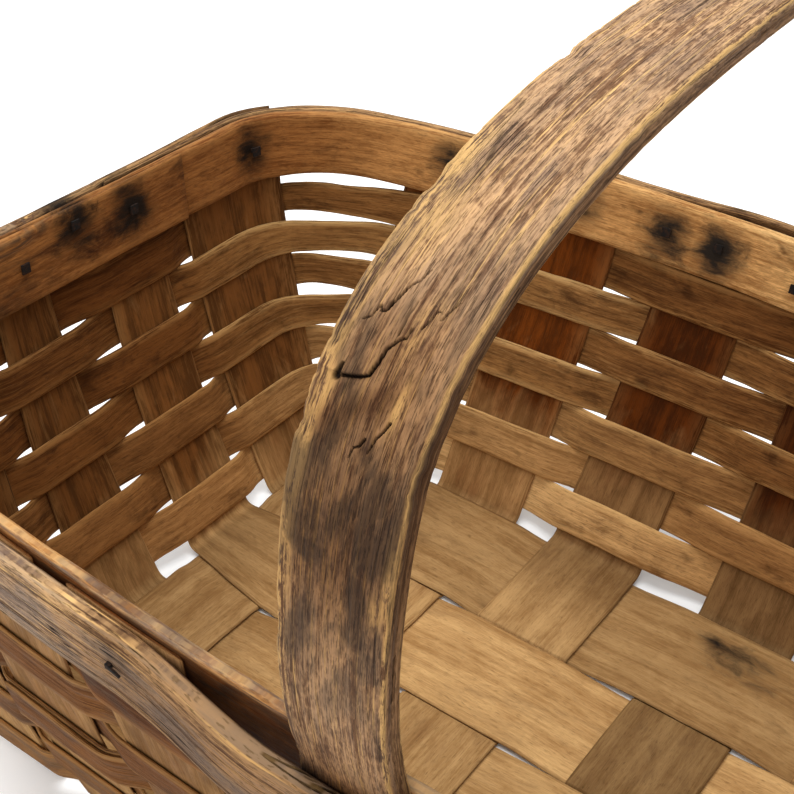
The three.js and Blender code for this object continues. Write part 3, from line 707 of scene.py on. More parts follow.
def aged_wood(
    name, light, dark, wear, colours, *, pores, mottle, grey, worn, gloss, soft, darkening_and_painted_shade=0.8, redden=0.4,
    deep=None, glint=0.15, splits=0.15, speckle=0.0, relief=1.0, stretch=1.0, shares=(0.26, 0.38, 0.2, 0.16),
):
    """Old hand-split wood: streaks along the grain, open pores, dark mottling, grey film and worn edges."""
    bench = NodeBench(bpy.data.materials.new(name))
    patterns = []
    for pattern, (along, across, depth, *look) in WOOD_PATTERNS.items():
        rate = along / stretch if pattern in STRETCHED_PATTERNS else along
        patterns.append(bench.noise(bench.grain_vector(rate, across, depth), *look))
    broad, streak, fibre, patch, blot, fleck, grit, bare, seam = patterns

    def of_dark(share):
        return tuple(c * share for c in dark)

    # Light and dark grain, with bare wood showing through
    tone = 0.0
    for pattern, part in zip((broad, streak, fibre, blot), shares):
        tone = bench.plus(tone, bench.times(pattern, part))
    tone = bench.plus(tone, bench.times(bench.minus(grit, 0.5), speckle))
    base = bench.blend(bench.ramp(tone, 0.5 - soft, 0.5 + soft), dark, light)
    base = bench.blend(bench.times(bench.fade(bare, "bare"), glint), base, colours.golden)

    # Darkened wood and painted shade, dark mottling and grey film
    deep = deep or tuple(c * f for c, f in zip(dark, DEEP_OF_DARK))
    gloom = bench.times(bench.attribute("darkening_and_painted_shade"), darkening_and_painted_shade)
    gloom = bench.plus(gloom, bench.times(bench.minus(patch, 0.5), bench.times(gloom, DUSK_STIR)))
    darker, paler = (tuple(c * f for c in deep) for f in SUNKEN_OF_DEEP)
    base = bench.blend(gloom, base, bench.blend(bench.fade(tone, "sunken"), darker, paler))
    mixed = bench.plus(bench.times(patch, 0.62), bench.times(blot, 0.38))
    base = bench.blend(bench.times(bench.fade(mixed, "mottle"), mottle), base, deep)
    film = bench.times(bench.fade(bench.attribute("outer"), "outside"), grey)
    spread = bench.plus(bench.times(streak, 0.5), bench.times(patch, 0.5))
    base = bench.blend(bench.times(film, bench.fade(spread, "film")), base, colours.grey)

    # Splits along the grain, open pores, rubbed edges, and dirt, which on the handle's feet is painted shade
    line = bench.fade(bench.math("ABSOLUTE", bench.minus(seam, 0.5)), "seam")
    split = bench.times(bench.times(line, bench.fade(patch, "split")), splits)
    base = bench.blend(split, base, of_dark(SPLIT_TONE))
    pore = bench.fade(fleck, "pore")
    base = bench.blend(bench.times(pore, pores), base, of_dark(PORE_TONE))
    rub = bench.times(bench.attribute("edge"), bench.fade(tone, "rub"))
    base = bench.blend(bench.times(rub, worn), base, colours.golden)
    dirt_and_painted_shade = bench.times(bench.attribute("dirt_and_painted_shade"), bench.fade(mixed, "dirt_and_painted_shade"))
    base = bench.blend(dirt_and_painted_shade, base, colours.grime_and_painted_shade)

    # Iron stains, cracks, and the tone of each place, partly its own and partly painted light and shade,
    # which reddens as it darkens
    spot = bench.plus(bench.attribute("stain"), bench.minus(blot, 0.5))
    spot = bench.plus(spot, bench.times(bench.minus(streak, 0.5), 0.5))
    base = bench.blend(bench.times(bench.fade(spot, "stain"), wear.stain), base, colours.stain)
    base = bench.blend(bench.attribute("crack"), base, of_dark(CRACK_TONE))
    shade = bench.attribute("shade")
    tint = bench.nodes.new("ShaderNodeCombineColor")
    bench.set(tint.inputs[0], shade)
    bench.set(tint.inputs[1], bench.math("POWER", shade, 1 + redden))
    bench.set(tint.inputs[2], bench.math("POWER", shade, 1 + 2 * redden))
    base = bench.blend(1.0, base, tint.outputs[0], "MULTIPLY")

    height = bench.times(streak, RELIEF_PARTS["streak"])
    height = bench.plus(height, bench.times(fibre, RELIEF_PARTS["fibre"]))
    height = bench.minus(height, bench.times(pore, RELIEF_PARTS["pore"]))
    height = bench.minus(height, split)
    height = bench.plus(height, bench.times(blot, RELIEF_PARTS["blot"]))
    height = bench.plus(height, bench.times(grit, 2 * speckle))
    bench.paint(
        Base_Color=base,
        Roughness=bench.ramp(streak, *WOOD_ROUGHNESS, smooth=False),
        Specular_IOR_Level=gloss,
        Normal=bench.bump(height, min(0.6 * wear.grain * relief, 1.0), WOOD_RELIEF),
    )
    return bench.owner


def rusted_iron(colours):
    """Dark rusted iron for the cut nails."""
    bench = NodeBench(bpy.data.materials.new("rusted_iron"))
    grow = bench.nodes.new("ShaderNodeVectorMath")
    grow.operation = "SCALE"
    grow.inputs["Scale"].default_value = RUST_RATE
    bench.links.new(bench.nodes.new("ShaderNodeTexCoord").outputs["Object"], grow.inputs[0])
    rust = bench.noise(grow.outputs[0], 4.0, 0.6)
    bench.paint(
        Base_Color=bench.blend(bench.fade(rust, "rust"), colours.iron, colours.rust),
        Metallic=0.2,
        Roughness=0.85,
        Specular_IOR_Level=0.2,
        Normal=bench.bump(rust, 0.5, IRON_RELIEF),
    )
    return bench.owner


def nail_places():
    """Name and middle of every nail, from the frame."""
    places = []
    for node in sorted(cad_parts):
        if node.startswith("nail_"):
            low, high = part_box(node)
            places.append((node, (np.array(low) + np.array(high)) / 2))
    return places


# Rings of a splint in its bend, up a wall and over a crossing, and shares of the way between two crossings
BEND_RINGS, WALL_RINGS, CROSSING_RINGS = 9, 34, 7
BETWEEN_CROSSINGS = (0.2, 0.4, 0.6, 0.8)

# Splints: how far they end below the top of the rim, room left at the ends of the floor, and share of cupping
SPLINT_END = 0.0026
FLOOR_MARGIN = 0.0006
SPLINT_CUP = 0.35

# Places in millimetres where a long splint starts to narrow towards the left and the right wall
NARROW_FROM = {"left": 138.7, "right": 136}

# Darkening up the walls: its strength at the foot, then shares of the height at which it starts to grow and
# for which it grows. Then the painted shade at the edge of the floor and the painted shade that the bend
# adds, and what the outside lacks.
WALL_DARKENING = {"long": (0.48, 0.03, 0.35), "cross": (0.35, 0.1, 0.42)}
FLOOR_EDGE_PAINTED_SHADE, BEND_PAINTED_SHADE, OUTSIDE_DUSK_LOSS = 0.1, 0.3, 0.55

# Old spills on the floor in millimetres: middle, reach and strength, and the height up to which they lie
FLOOR_STAINS = ((15, 96, 6, 5, 0.32), (21, 98, 7, 5, 0.25), (31, 93, 24, 13, 0.58))
FLOOR_STAIN_TOP = 0.01


class BASKET_OT_splints(bpy.types.Operator):
    """Build the splints that cross on the floor and turn up into the walls"""

    bl_idname = "basket.splints"
    bl_label = "Splints"

    def execute(self, context):
        sizes, wear, colours = settings(context)
        wall = Wall(sizes)
        for kind, count, deep in (("long", 4, colours.long_deep), ("cross", 6, colours.cross_deep)):
            wood = aged_wood(
                f"{kind}_splint_wood", colours.floor_light, colours.floor_dark, wear, colours,
                pores=0.3, mottle=0.4, grey=0.15, worn=0.1, darkening_and_painted_shade=1.2, gloss=0.08, redden=0.06,
                deep=tuple(deep), soft=0.12, splits=0.08, shares=(0.38, 0.24, 0.14, 0.24),
            )
            for k in range(count):
                self.build(wall, sizes, wear, kind, k, wood)
        return {"FINISHED"}

    def floor_edges(self, sizes, kind, k, at):
        """Edges of a splint on the floor, a long one narrows towards its ends."""
        if kind == "cross":
            return tuple(v * MM for v in CROSS_SPLINTS[k]["floor"])
        towards = "left" if at < 0 else "right"
        narrow_from = NARROW_FROM[towards] * MM
        t = min(max((abs(at) - narrow_from) / (sizes.base_half_length - narrow_from), 0), 1)
        floor, foot = LONG_SPLINTS[k]["floor"], LONG_SPLINTS[k][towards][0]
        return tuple(mix(floor[j], foot[j], t) * MM for j in (0, 1))

    def build(self, wall, sizes, wear, kind, k, wood):
        seed = SEEDS[kind] + k
        rng = np.random.default_rng(seed)
        is_long = kind == "long"
        thick = sizes.splint_thickness
        low = thick / 2
        high = low + thick + sizes.seat_gap
        shares = [t / 2 + 0.5 for t, _ in STRIP_SECTION]
        wander = [Wander(rng, longest=0.12), Wander(rng, longest=0.12)]
        cup = Wander(rng, longest=0.3)
        place_of = wall.long_place if is_long else wall.cross_place
        reach = (sizes.base_half_length if is_long else sizes.base_half_width) - sizes.bend
        tones = (LONG_TONES if is_long else CROSS_TONES)[k]
        # Tone of the floor at its edge, painted darker there as shade from the walls
        rim_tone = tones[1] * (1 - FLOOR_RIM_PAINTED_SHADE)
        trail = Trail()
        rings, along, darkening_and_painted_shade, shade, stains = [], [], [], [], []

        def over(i):
            """Height of this splint where it crosses splint i of the other kind."""
            upper = (i + k) % 2 == 1
            return high if upper == is_long else low

        def across_floor(at, level):
            """Points of the section where the splint lies on the floor."""
            edges = self.floor_edges(sizes, kind, k, at)
            values = [mix(*edges, share) for share in shares]
            return [np.array((at, v, level) if is_long else (v, at, level)) for v in values]

        def add(middles, outs, gloom, tone):
            travelled = trail.go(middles[NEAR_MIDDLE])
            side_way = unit(middles[LAST_EDGE] - middles[FIRST_EDGE])
            ring = []
            for (t, o), at, out in zip(STRIP_SECTION, middles, outs):
                wave = wander[0 if t < 0 else 1](travelled) * wear.edge_wave * abs(t) ** 3
                crown = cup(travelled) * SPLINT_CUP * wear.cup * (1 - t * t)
                ring.append(at + side_way * wave + out * (o * thick / 2 + crown))
            rings.append(ring)
            along.append(travelled)
            darkening_and_painted_shade.append(gloom)
            shade.append(tone)
            stains.append([self.stain_at(point) for point in ring])

        def wall_part(side, upward):
            """The bend at one end of the floor and the wall above it."""
            first_crossed, last_crossed = (0, 5) if is_long else (3, 0)
            level = over(first_crossed if side < 0 else last_crossed)
            wall_tone = tones[0 if side < 0 else 2]
            places = [place_of(k, side, share) for share in shares]
            feet = across_floor(side * reach, level)
            knees = [place(0, level) for place in places]
            ends = [place(0, sizes.wall_start) for place in places]
            parts = []
            # The bend is painted darker than the floor, as painted shade where the floor turns up into the
            # wall
            for t in np.linspace(0, 0.9, BEND_RINGS):
                middles, outs = [], []
                for foot, knee, end in zip(feet, knees, ends):
                    before, after = mix(foot, knee, t), mix(knee, end, t)
                    way = after - before
                    flat = np.array((way[0], way[1], 0.0))
                    middles.append(mix(before, after, t))
                    outs.append(unit(unit(flat) * way[2] - np.array((0, 0, 1)) * np.linalg.norm(flat)))
                parts.append((middles, outs, FLOOR_EDGE_PAINTED_SHADE + BEND_PAINTED_SHADE * t, mix(rim_tone, wall_tone, t)))
            foot_darkening, grows_from, grows_for = WALL_DARKENING[kind]
            for z in np.linspace(sizes.wall_start, sizes.rim_height - SPLINT_END, WALL_RINGS):
                middles, outs = zip(*(wall.frame(place, z) for place in places))
                gloom = mix(foot_darkening, 1, ease((z / sizes.rim_height - grows_from) / grows_for))
                parts.append((middles, outs, gloom, wall_tone))
            for part in parts if upward else parts[::-1]:
                add(*part)

        wall_part(-1, False)
        if is_long:
            crossings = [(self.floor_edges(sizes, "cross", i, 0), over(i)) for i in range(6)]
        else:
            middle_x = sum(CROSS_SPLINTS[k]["floor"]) / 2 * MM
            crossings = [(self.floor_edges(sizes, "long", i, middle_x), over(i)) for i in (3, 2, 1, 0)]
        stops = []
        for number, ((a, b), level) in enumerate(crossings):
            a, b = max(a, FLOOR_MARGIN - reach), min(b, reach - FLOOR_MARGIN)
            stops += [(mix(a, b, t), level) for t in np.linspace(0, 1, CROSSING_RINGS)]
            if number + 1 < len(crossings):
                (next_a, _), next_level = crossings[number + 1]
                stops += [(mix(b, next_a, t), mix(level, next_level, ease(t))) for t in BETWEEN_CROSSINGS]
        down = [np.array((0.0, 0.0, -1.0))] * len(shares)
        # The floor is painted darker towards its edges, as painted shade from the walls
        for at, level in stops:
            away = ease((abs(at) - 0.5 * reach) / (0.5 * reach))
            add(across_floor(at, level), down, FLOOR_EDGE_PAINTED_SHADE * away, tones[1] * (1 - FLOOR_RIM_PAINTED_SHADE * away))
        wall_part(1, True)

        across, outer, edge = section_marks(STRIP_SECTION)
        marks = {
            "outer": outer, "edge": edge, "stain": np.array(stains), "shade": column(shade),
            "darkening_and_painted_shade": column(darkening_and_painted_shade) * (1 - OUTSIDE_DUSK_LOSS * outer),
        }
        points = np.array(rings)
        middle = points[len(points) // 2]
        width = np.linalg.norm(middle[LAST_EDGE] - middle[FIRST_EDGE])
        points[:, :, 2] = np.maximum(points[:, :, 2], 0.0)
        name = f"{kind}_splint_{k + 1}"
        piece = strip_object(f"{name}_strip", points, along, across * width / 2, marks, wood, seed)
        finish_piece(piece, name)

    def stain_at(self, point):
        """Old spill on the floor."""
        if point[2] > FLOOR_STAIN_TOP:
            return 0.0
        total = 0.0
        for x, y, reach_x, reach_y, strength in FLOOR_STAINS:
            away = ((point[0] / MM - x) / reach_x) ** 2 + ((point[1] / MM - y) / reach_y) ** 2
            total += strength * math.exp(-away)
        return total


# Weavers: rings over an upright, to the next one and round a corner, how much paler than the floor the low
# rows are, air between lapped ends, share of cupping, and what an upright takes of the way to the next one
UPRIGHT_RINGS, GAP_RINGS, CORNER_RINGS = 9, 6, 18
LOW_ROW_PALE = 1.3
LAP_AIR = 0.0003
WEAVER_CUP = 0.4
UPRIGHT_SPAN = 0.6


class BASKET_OT_weavers(bpy.types.Operator):
    """Weave the seven flat strips in and out of the uprights"""

    bl_idname = "basket.weavers"
    bl_label = "Weavers"

    def execute(self, context):
        sizes, wear, colours = settings(context)
        wall = Wall(sizes)
        pairs = ((colours.floor_light, colours.wall_light), (colours.floor_dark, colours.wall_dark))
        for row in range(ROW_COUNT):
            share = min(0.25 + 1.5 * row / (ROW_COUNT - 1), 1.0)
            light, dark = (
                tuple(mix(f * LOW_ROW_PALE, w, share) for f, w in zip(on_floor, on_wall))
                for on_floor, on_wall in pairs
            )
            wood = aged_wood(
                f"weaver_wood_{row + 1}", light, dark, wear, colours,
                pores=0.4, mottle=0.75, grey=0.7, worn=0.6, gloss=0.08, soft=0.12, splits=0.3,
            )
            self.build(wall, sizes, wear, row, wood)
        return {"FINISHED"}

    def stations(self, wall, row, weave, layer):
        """Places along a weaver: place, share of a corner, share of the slit, offset and number."""
        first = LAP_FIRST[row]
        total = UPRIGHTS + LAP_UPRIGHTS

        def offset(step):
            """How far out the weaver runs over an upright, and further where its ends lap."""
            if (first + step + row) % 2 == 0:
                return weave + (layer if step >= UPRIGHTS else 0)
            return -weave - (layer if step < LAP_UPRIGHTS else 0)

        found = []
        for step in range(total):
            k = (first + step) % UPRIGHTS
            for share in np.linspace(0, 1, UPRIGHT_RINGS):
                slit = self.slit_at_upright(k, share)
                number = k + UPRIGHT_SPAN * (share - 0.5)
                found.append((wall.upright_place(k, share), 0.0, slit, offset(step), number))
            if step + 1 < total:
                count = CORNER_RINGS if k in CORNER_AFTER else GAP_RINGS
                for share in (i / count for i in range(1, count)):
                    corner, slit = 0.0, 0.0
                    if k in CORNER_AFTER:
                        corner = math.sin(math.pi * share)
                        from_short = share if k in SHORT_SIDE_BEFORE else 1 - share
                        slit = mix(SLIT_AT_SHORT_SIDE, SLIT_AT_LONG_SIDE, from_short)
                        slit = max(slit, corner * SLIT_AT_MIDDLE)
                    out_by = mix(offset(step), offset(step + 1), ease(share))
                    number = k + UPRIGHT_SPAN / 2 + (1 - UPRIGHT_SPAN) * share
                    found.append((wall.between(k, share), corner, slit, out_by, number))
        return found

    def build(self, wall, sizes, wear, row, wood):
        seed = SEEDS["weaver"] + row
        rng = np.random.default_rng(seed)
        thick = sizes.splint_thickness
        top_row = row == ROW_COUNT - 1
        low = sizes.first_row + row * wall.row_pitch
        high = low + wall.weaver_width + (sizes.top_row_extra if top_row else 0)
        slit_above = CORNER_SLITS[row] * MM * (1 if top_row else 0.5)
        slit_below = 0 if row == 0 else CORNER_SLITS[row - 1] * MM / 2
        spread = wall.spread(low)
        sway = Wander(rng, longest=0.35)
        top_wave, low_wave = Wander(rng, longest=0.09), Wander(rng, longest=0.09)
        cup = Wander(rng, longest=0.2)
        trail = Trail()
        rings, along, shade = [], [], []
        stations = self.stations(wall, row, thick + sizes.seat_gap, thick + LAP_AIR)
        for place, corner, slit, out_by, number in stations:
            drop = sizes.corner_dip * spread * corner ** 2
            cut = wall.cut(place, low - drop + slit_below * slit, high - drop - slit_above * slit, corner)
            travelled = trail.go(cut.centre)
            shift = sway(travelled) * wear.row_wave
            ring = []
            for t, o in STRIP_SECTION:
                at, out = cut.at((t + 1) / 2)
                wave = (low_wave if t < 0 else top_wave)(travelled) * wear.edge_wave * abs(t) ** 3
                crown = cup(travelled) * WEAVER_CUP * wear.cup * (1 - t * t)
                ring.append(at + out * (out_by + o * thick / 2 + crown) + np.array((0, 0, shift + wave)))
            rings.append(ring)
            along.append(travelled)
            # Tone along the wall, partly painted light round the far left corner and painted shade along the
            # left wall
            shade.append(np.interp(number % UPRIGHTS, *zip(*WEAVER_TONES_AND_PAINTED_LIGHT)) * WEAVER_ROW_TONES[row])
        across, outer, edge = section_marks(STRIP_SECTION)
        marks = {"outer": outer, "edge": edge, "shade": column(shade)}
        name = f"weaver_{row + 1}"
        piece = strip_object(f"{name}_strip", rings, along, across * (high - low) / 2, marks, wood, seed)
        finish_piece(piece, name)

    def slit_at_upright(self, k, share):
        """Share of the corner slits that is still open over the uprights beside a corner."""
        to_short, to_long = SLIT_AT_SHORT_SIDE, SLIT_AT_LONG_SIDE
        if k in CORNER_AFTER and share > 0.5:
            return (share - 0.5) * 2 * (to_short if k in SHORT_SIDE_BEFORE else to_long)
        before = (k - 1) % UPRIGHTS
        if before in CORNER_AFTER and share < 0.5:
            return (0.5 - share) * 2 * (to_long if before in SHORT_SIDE_BEFORE else to_short)
        return 0.0


# Strength of the stain round nails that aren't like the others, and of the others by chance
NAIL_STAINS = {
    "nail_leg_far_1": 0.1, "nail_leg_far_2": 0.1, "nail_upright_19": 0.12, "nail_upright_1": 0.85,
    "nail_upright_20": 1.0, "nail_rim_left": 0.95, "nail_rim_far": 0.9, "nail_upright_4": 0.95,
    "nail_upright_15": 0.35,
}
OTHER_NAIL_STAINS = (0.55, 1.0)

# Reach of a stain along the rim and over its height, and how far from a nail it is looked for
STAIN_ALONG, STAIN_UP, STAIN_LIMIT = 0.013, 0.0135, 0.06

# Section of a rim band with a rounded top
RIM_SECTION = tuple(
    [(t, 1.0) for t in (-0.96, -0.8, -0.6, -0.4, -0.2, 0.0, 0.2, 0.4, 0.6, 0.76, 0.88)]
    + [(0.955, 0.72), (0.99, 0.3), (0.99, -0.3), (0.955, -0.72)]
    + [(t, -1.0) for t in (0.88, 0.76, 0.6, 0.4, 0.2, 0.0, -0.2, -0.4, -0.6, -0.8, -0.96)]
    + [(-1.0, -0.5), (-1.0, 0.5)]
)

# Where the lap of each rim starts and ends on the left side, in metres from its middle
RIM_LAPS = {"inner_rim": (-0.066, 0.047), "outer_rim": (0.009, 0.102)}

# Rims: distance between rings, rings and lift round a corner, thickness of a lapped tip, air between the
# laps, and rings in which the full thickness comes back
RIM_STEP = 0.0035
RIM_CORNER_RINGS = 26
RIM_CORNER_LIFT = 0.0005
LAP_TIP, RIM_LAP_AIR = 0.0008, 0.0003
LAP_END_STEPS = 4

# The outer rim swells over a leg of the handle: half width at its full height, then reach of its slopes
SWELL_FLAT, SWELL_SLOPE, SWELL_LIMIT = 0.017, 0.058, 0.1

# Wear of the rims: hollows in the face, rounding of the outer edges, and dips in the edges
FACE_WEAR, EDGE_ROUND, EDGE_DIP = 0.00025, 0.0009, 0.0004

# How far towards the near side, in metres, the rims turn fully grey
NEAR_SIDE_FROM = 0.04


class BASKET_OT_rims(bpy.types.Operator):
    """Bend the two nailed rim bands round the top"""

    bl_idname = "basket.rims"
    bl_label = "Rims"

    def execute(self, context):
        sizes, wear, colours = settings(context)
        wall = Wall(sizes)
        seat = sizes.splint_thickness / 2 + sizes.seat_gap
        inner_wood = aged_wood(
            "inner_rim_wood", colours.rim_light, colours.rim_dark, wear, colours,
            pores=0.25, mottle=0.9, grey=0.95, worn=0.4, gloss=0.12, soft=0.14, speckle=0.2,
        )
        outer_wood = aged_wood(
            "outer_rim_wood", colours.outer_light, colours.outer_dark, wear, colours,
            pores=0.6, mottle=0.6, grey=0.8, worn=0.2, gloss=0.05, redden=0.2, soft=0.05, glint=0.9,
            splits=1.8, speckle=0.15, relief=1.3, stretch=2.5, shares=(0.24, 0.4, 0.26, 0.1),
        )
        top = sizes.rim_height
        heights = (top - sizes.inner_rim_width, top)
        faces = (-seat - sizes.inner_rim_thickness, -seat)
        self.build(wall, sizes, "inner_rim", inner_wood, heights, faces)
        top -= sizes.outer_rim_drop
        heights = (top - sizes.outer_rim_width, top)
        faces = (seat, seat + sizes.outer_rim_thickness)
        self.build(wall, sizes, "outer_rim", outer_wood, heights, faces)
        return {"FINISHED"}

    def stations(self, wall, sizes):
        """Places all round the rim, each with its share of a corner, its side and its value there."""
        middle = sizes.rim_height - sizes.inner_rim_width / 2
        sides = (("far", 1, 6, 0, 1), ("right", 7, 10, 1, 1), ("near", 11, 16, 0, -1), ("left", 17, 0, 1, -1))
        found = []
        for name, first, last, axis, side in sides:
            start = wall.upright_place(first, 0.0)(0, middle)[axis]
            end = wall.upright_place(last, 1.0)(0, middle)[axis]
            steps = int(abs(end - start) / RIM_STEP)
            make = wall.long if axis == 0 else wall.short
            for i in range(steps + 1):
                value = mix(start, end, i / steps)
                found.append((lambda e, z, v=value, m=make, s=side: m(s, v + e, z), 0.0, name, value))
            for i in range(1, RIM_CORNER_RINGS):
                share = i / RIM_CORNER_RINGS
                found.append((wall.corner_place(last, share), math.sin(math.pi * share), "corner", share))
        return found

    def build(self, wall, sizes, node, wood, heights, faces):
        seed = SEEDS[node]
        rng = np.random.default_rng(seed)
        outside = node == "outer_rim"
        low, high = heights
        inner, outer = faces
        full = outer - inner
        lapped = full - RIM_LAP_AIR - LAP_TIP
        stations = self.stations(wall, sizes)
        left = [i for i, s in enumerate(stations) if s[2] == "left"]
        first, last = (min(left, key=lambda i: abs(stations[i][3] - at)) for at in RIM_LAPS[node])
        lap = last - first
        wave_top, wave_low = Wander(rng, longest=0.25), Wander(rng, longest=0.3)
        wave_face = Wander(rng, longest=0.14)
        names, middles = zip(*nail_places())
        strengths = rng.uniform(*OTHER_NAIL_STAINS, len(names))
        nails = [(at, NAIL_STAINS.get(name, by)) for name, at, by in zip(names, middles, strengths)]

        def band_faces(step):
            """Inner and outer face of the band, which tapers where its ends lap."""
            starting = step < len(stations)
            if step <= lap:
                thick = mix(LAP_TIP, lapped, step / lap)
            elif step <= lap + LAP_END_STEPS:
                thick = mix(lapped, full, (step - lap) / LAP_END_STEPS)
            elif starting:
                thick = full
            else:
                thick = mix(lapped, LAP_TIP, (step - len(stations)) / lap)
            return (inner, inner + thick) if starting == outside else (outer - thick, outer)

        trail = Trail()
        rings, along, stains, shade, weathered = [], [], [], [], []
        for step in range(len(stations) + lap + 1):
            place, corner, _, _ = stations[(first + step) % len(stations)]
            lift = RIM_CORNER_LIFT * corner ** 2
            cut = wall.cut(place, low + lift, high + lift, corner)
            x, y = cut.centre[:2]
            travelled = trail.go(cut.centre)
            a, b = band_faces(step)
            if outside and corner == 0.0 and abs(x) < SWELL_LIMIT:
                away = abs(x - wall.handle_x(y))
                push = wall.handle_bulge * (1 - ease((away - SWELL_FLAT) / SWELL_SLOPE))
                a, b = a + push, b + push
            wholeness = min(1.0, (b - a) / full)
            thin = FACE_WEAR * (1 + wave_face(travelled)) * wholeness
            ring = []
            for t, o in RIM_SECTION:
                wave = (wave_low if t < 0 else wave_top)(travelled)
                dip = -EDGE_DIP * (1 + wave) * (1 if t > 0 else -1) * abs(t) ** 4
                at, out = cut.at((t + 1) / 2)
                offset = mix(a, b, (o + 1) / 2)
                if outside and o > 0:
                    offset -= thin + EDGE_ROUND * t ** 4 * wholeness
                if not outside and o < 0:
                    offset += thin
                ring.append(at + out * offset + np.array((0, 0, dip)))
            rings.append(ring)
            stains.append([self.iron_stain(point, cut.level, nails) for point in ring])
            # Tone along the rim; the inner rim's darker tone on the left wall is painted shade
            tones = RIM_TONES_AND_PAINTED_SHADE[node]["far" if y > 0 else "near"]
            shade.append(np.interp(x / MM, *zip(*tones)))
            weathered.append(NEAR_RIM_GREY * min(max(-y / NEAR_SIDE_FROM, 0.0), 1.0))
            along.append(travelled)
        across, outer_mark, edge = section_marks(RIM_SECTION)
        # Faces in the gap between the rims are painted darker, as painted shade
        hidden = (outer_mark < 0.1 if outside else outer_mark > 0.9) & (across < 0.95)
        marks = {
            "outer": np.maximum(outer_mark, column(weathered) * np.clip(across * 3 - 1, 0, 1)),
            "edge": edge, "stain": np.array(stains),
            "dirt_and_painted_shade": (0.0 if outside else NEAR_RIM_DIRT) * column(weathered),
            "shade": column(shade) * np.where(hidden, GAP_PAINTED_SHADE, 1.0),
        }
        piece = strip_object(f"{node}_band", rings, along, across * (high - low) / 2, marks, wood, seed)
        finish_piece(piece, node)

    def iron_stain(self, point, level, nails):
        """Strength of the strongest stain at a point, measured in the face of the rim."""
        mark = 0.0
        for nail, strength in nails:
            d = point - nail
            if math.hypot(d[0], d[1]) < STAIN_LIMIT:
                d = d - level * float(d @ level)
                spread = (math.hypot(d[0], d[1]) / STAIN_ALONG) ** 2 + (d[2] / STAIN_UP) ** 2
                mark = max(mark, strength * math.exp(-spread))
        return mark


# Handle: part that is cracked, in millimetres from its near foot and from its middle
CRACKED_ALONG = (126, 169)
CRACKED_ACROSS = (-9.8, 8)

# Distance between points where the handle is cracked and elsewhere, size of its corners, and lift of its foot
CRACK_GRID, HANDLE_GRID = 0.00023, 0.0011
HANDLE_CORNER = 0.0012
FOOT_LIFT = 0.0007

# Points with which the line of the handle is drawn and smoothed
LEG_POINTS, SIDE_POINTS, ARCH_POINTS = 25, 60, 170
EVEN_POINTS, SMOOTHING = 576, 9

# Wear of the handle: hollows in its face, and rounding of its outer edges
HANDLE_HOLLOWS, HANDLE_ROUND = 0.00025, 0.0005

# Shares of the handle's half width and half thickness from which a point is at an edge, and then those from
# which it is on the outer face and on a flank
AT_EDGE = (0.96, 0.85)
ON_FACE, ON_FLANK = 0.6, 0.99

# Flake beside the first crack, in millimetres: where it lies flat again, length of its slope, and height and
# reach of its lifted and its sunken side
FLAKE_END, FLAKE_SLOPE = 158, 12
FLAKE_LIFTED, FLAKE_SUNKEN = (0.5, 4.5), (0.25, 3)

# Each crack: half width in millimetres, share of the full depth, places along and across
HANDLE_CRACKS = (
    (0.42, 1.0, (142.3, -7.6), (142.9, -5.4), (143.4, -3.9), (144.2, -2.4), (146.8, -1.7), (149.6, -1.3),
     (150.9, -0.4), (151.9, 0.2), (152.6, 1.2), (154.6, 1.4)),
    (1.0, 1.0, (141.8, -8.7), (144.2, -8.4)),
    (0.34, 0.8, (157.4, -4.9), (155.6, -5.2), (155.3, -6.0), (156.2, -6.6), (153.6, -7.4), (152.6, -8.6)),
    (0.36, 0.9, (156.0, -5.0), (158.2, -4.4), (160.2, -3.8), (161.7, -3.4), (163.2, -2.3), (166.0, -1.6)),
    (0.26, 0.6, (152.6, -0.4), (156.6, -0.6), (160.4, -0.2)),
    (0.26, 0.6, (155.2, 3.0), (157.4, 3.8), (159.4, 4.2), (159.2, 5.2)),
    (0.26, 0.6, (158.0, 5.6), (160.0, 6.2), (162.4, 7.2)),
    (0.38, 0.9, (133.8, 1.4), (132.2, 0.7), (131.6, -0.3), (129.4, -0.8)),
    (0.36, 0.9, (138.2, 5.2), (136.4, 4.5), (134.8, 3.6), (133.2, 3.2), (131.8, 2.8)),
)

# Along the handle: tone of its faces, then of its flanks, then dirt on its outer face. Near the feet, where
# the legs go down between the rims, the dark tone and the dirt are painted shade.
HANDLE_TONES_AND_PAINTED_SHADE = (
    (0, 0.16), (24, 0.19), (36, 0.62), (56, 0.88), (72, 0.82), (88, 0.7), (102, 0.49), (112, 0.44),
    (124, 0.5), (138, 0.58), (152, 0.76), (166, 0.95), (190, 1.06), (230, 1.15), (400, 1.15), (540, 0.9),
    (600, 0.7), (634, 0.3),
)
HANDLE_FLANK_TONES = ((0, 1.7), (110, 1.7), (160, 1.2), (634, 1.2))
HANDLE_DIRT_AND_PAINTED_SHADE = (
    (0, 0.9), (22, 0.8), (34, 0.2), (60, 0.2), (92, 0.65), (140, 0.7), (160, 0.35), (200, 0.1), (330, 0.1),
    (634, 0.3),
)

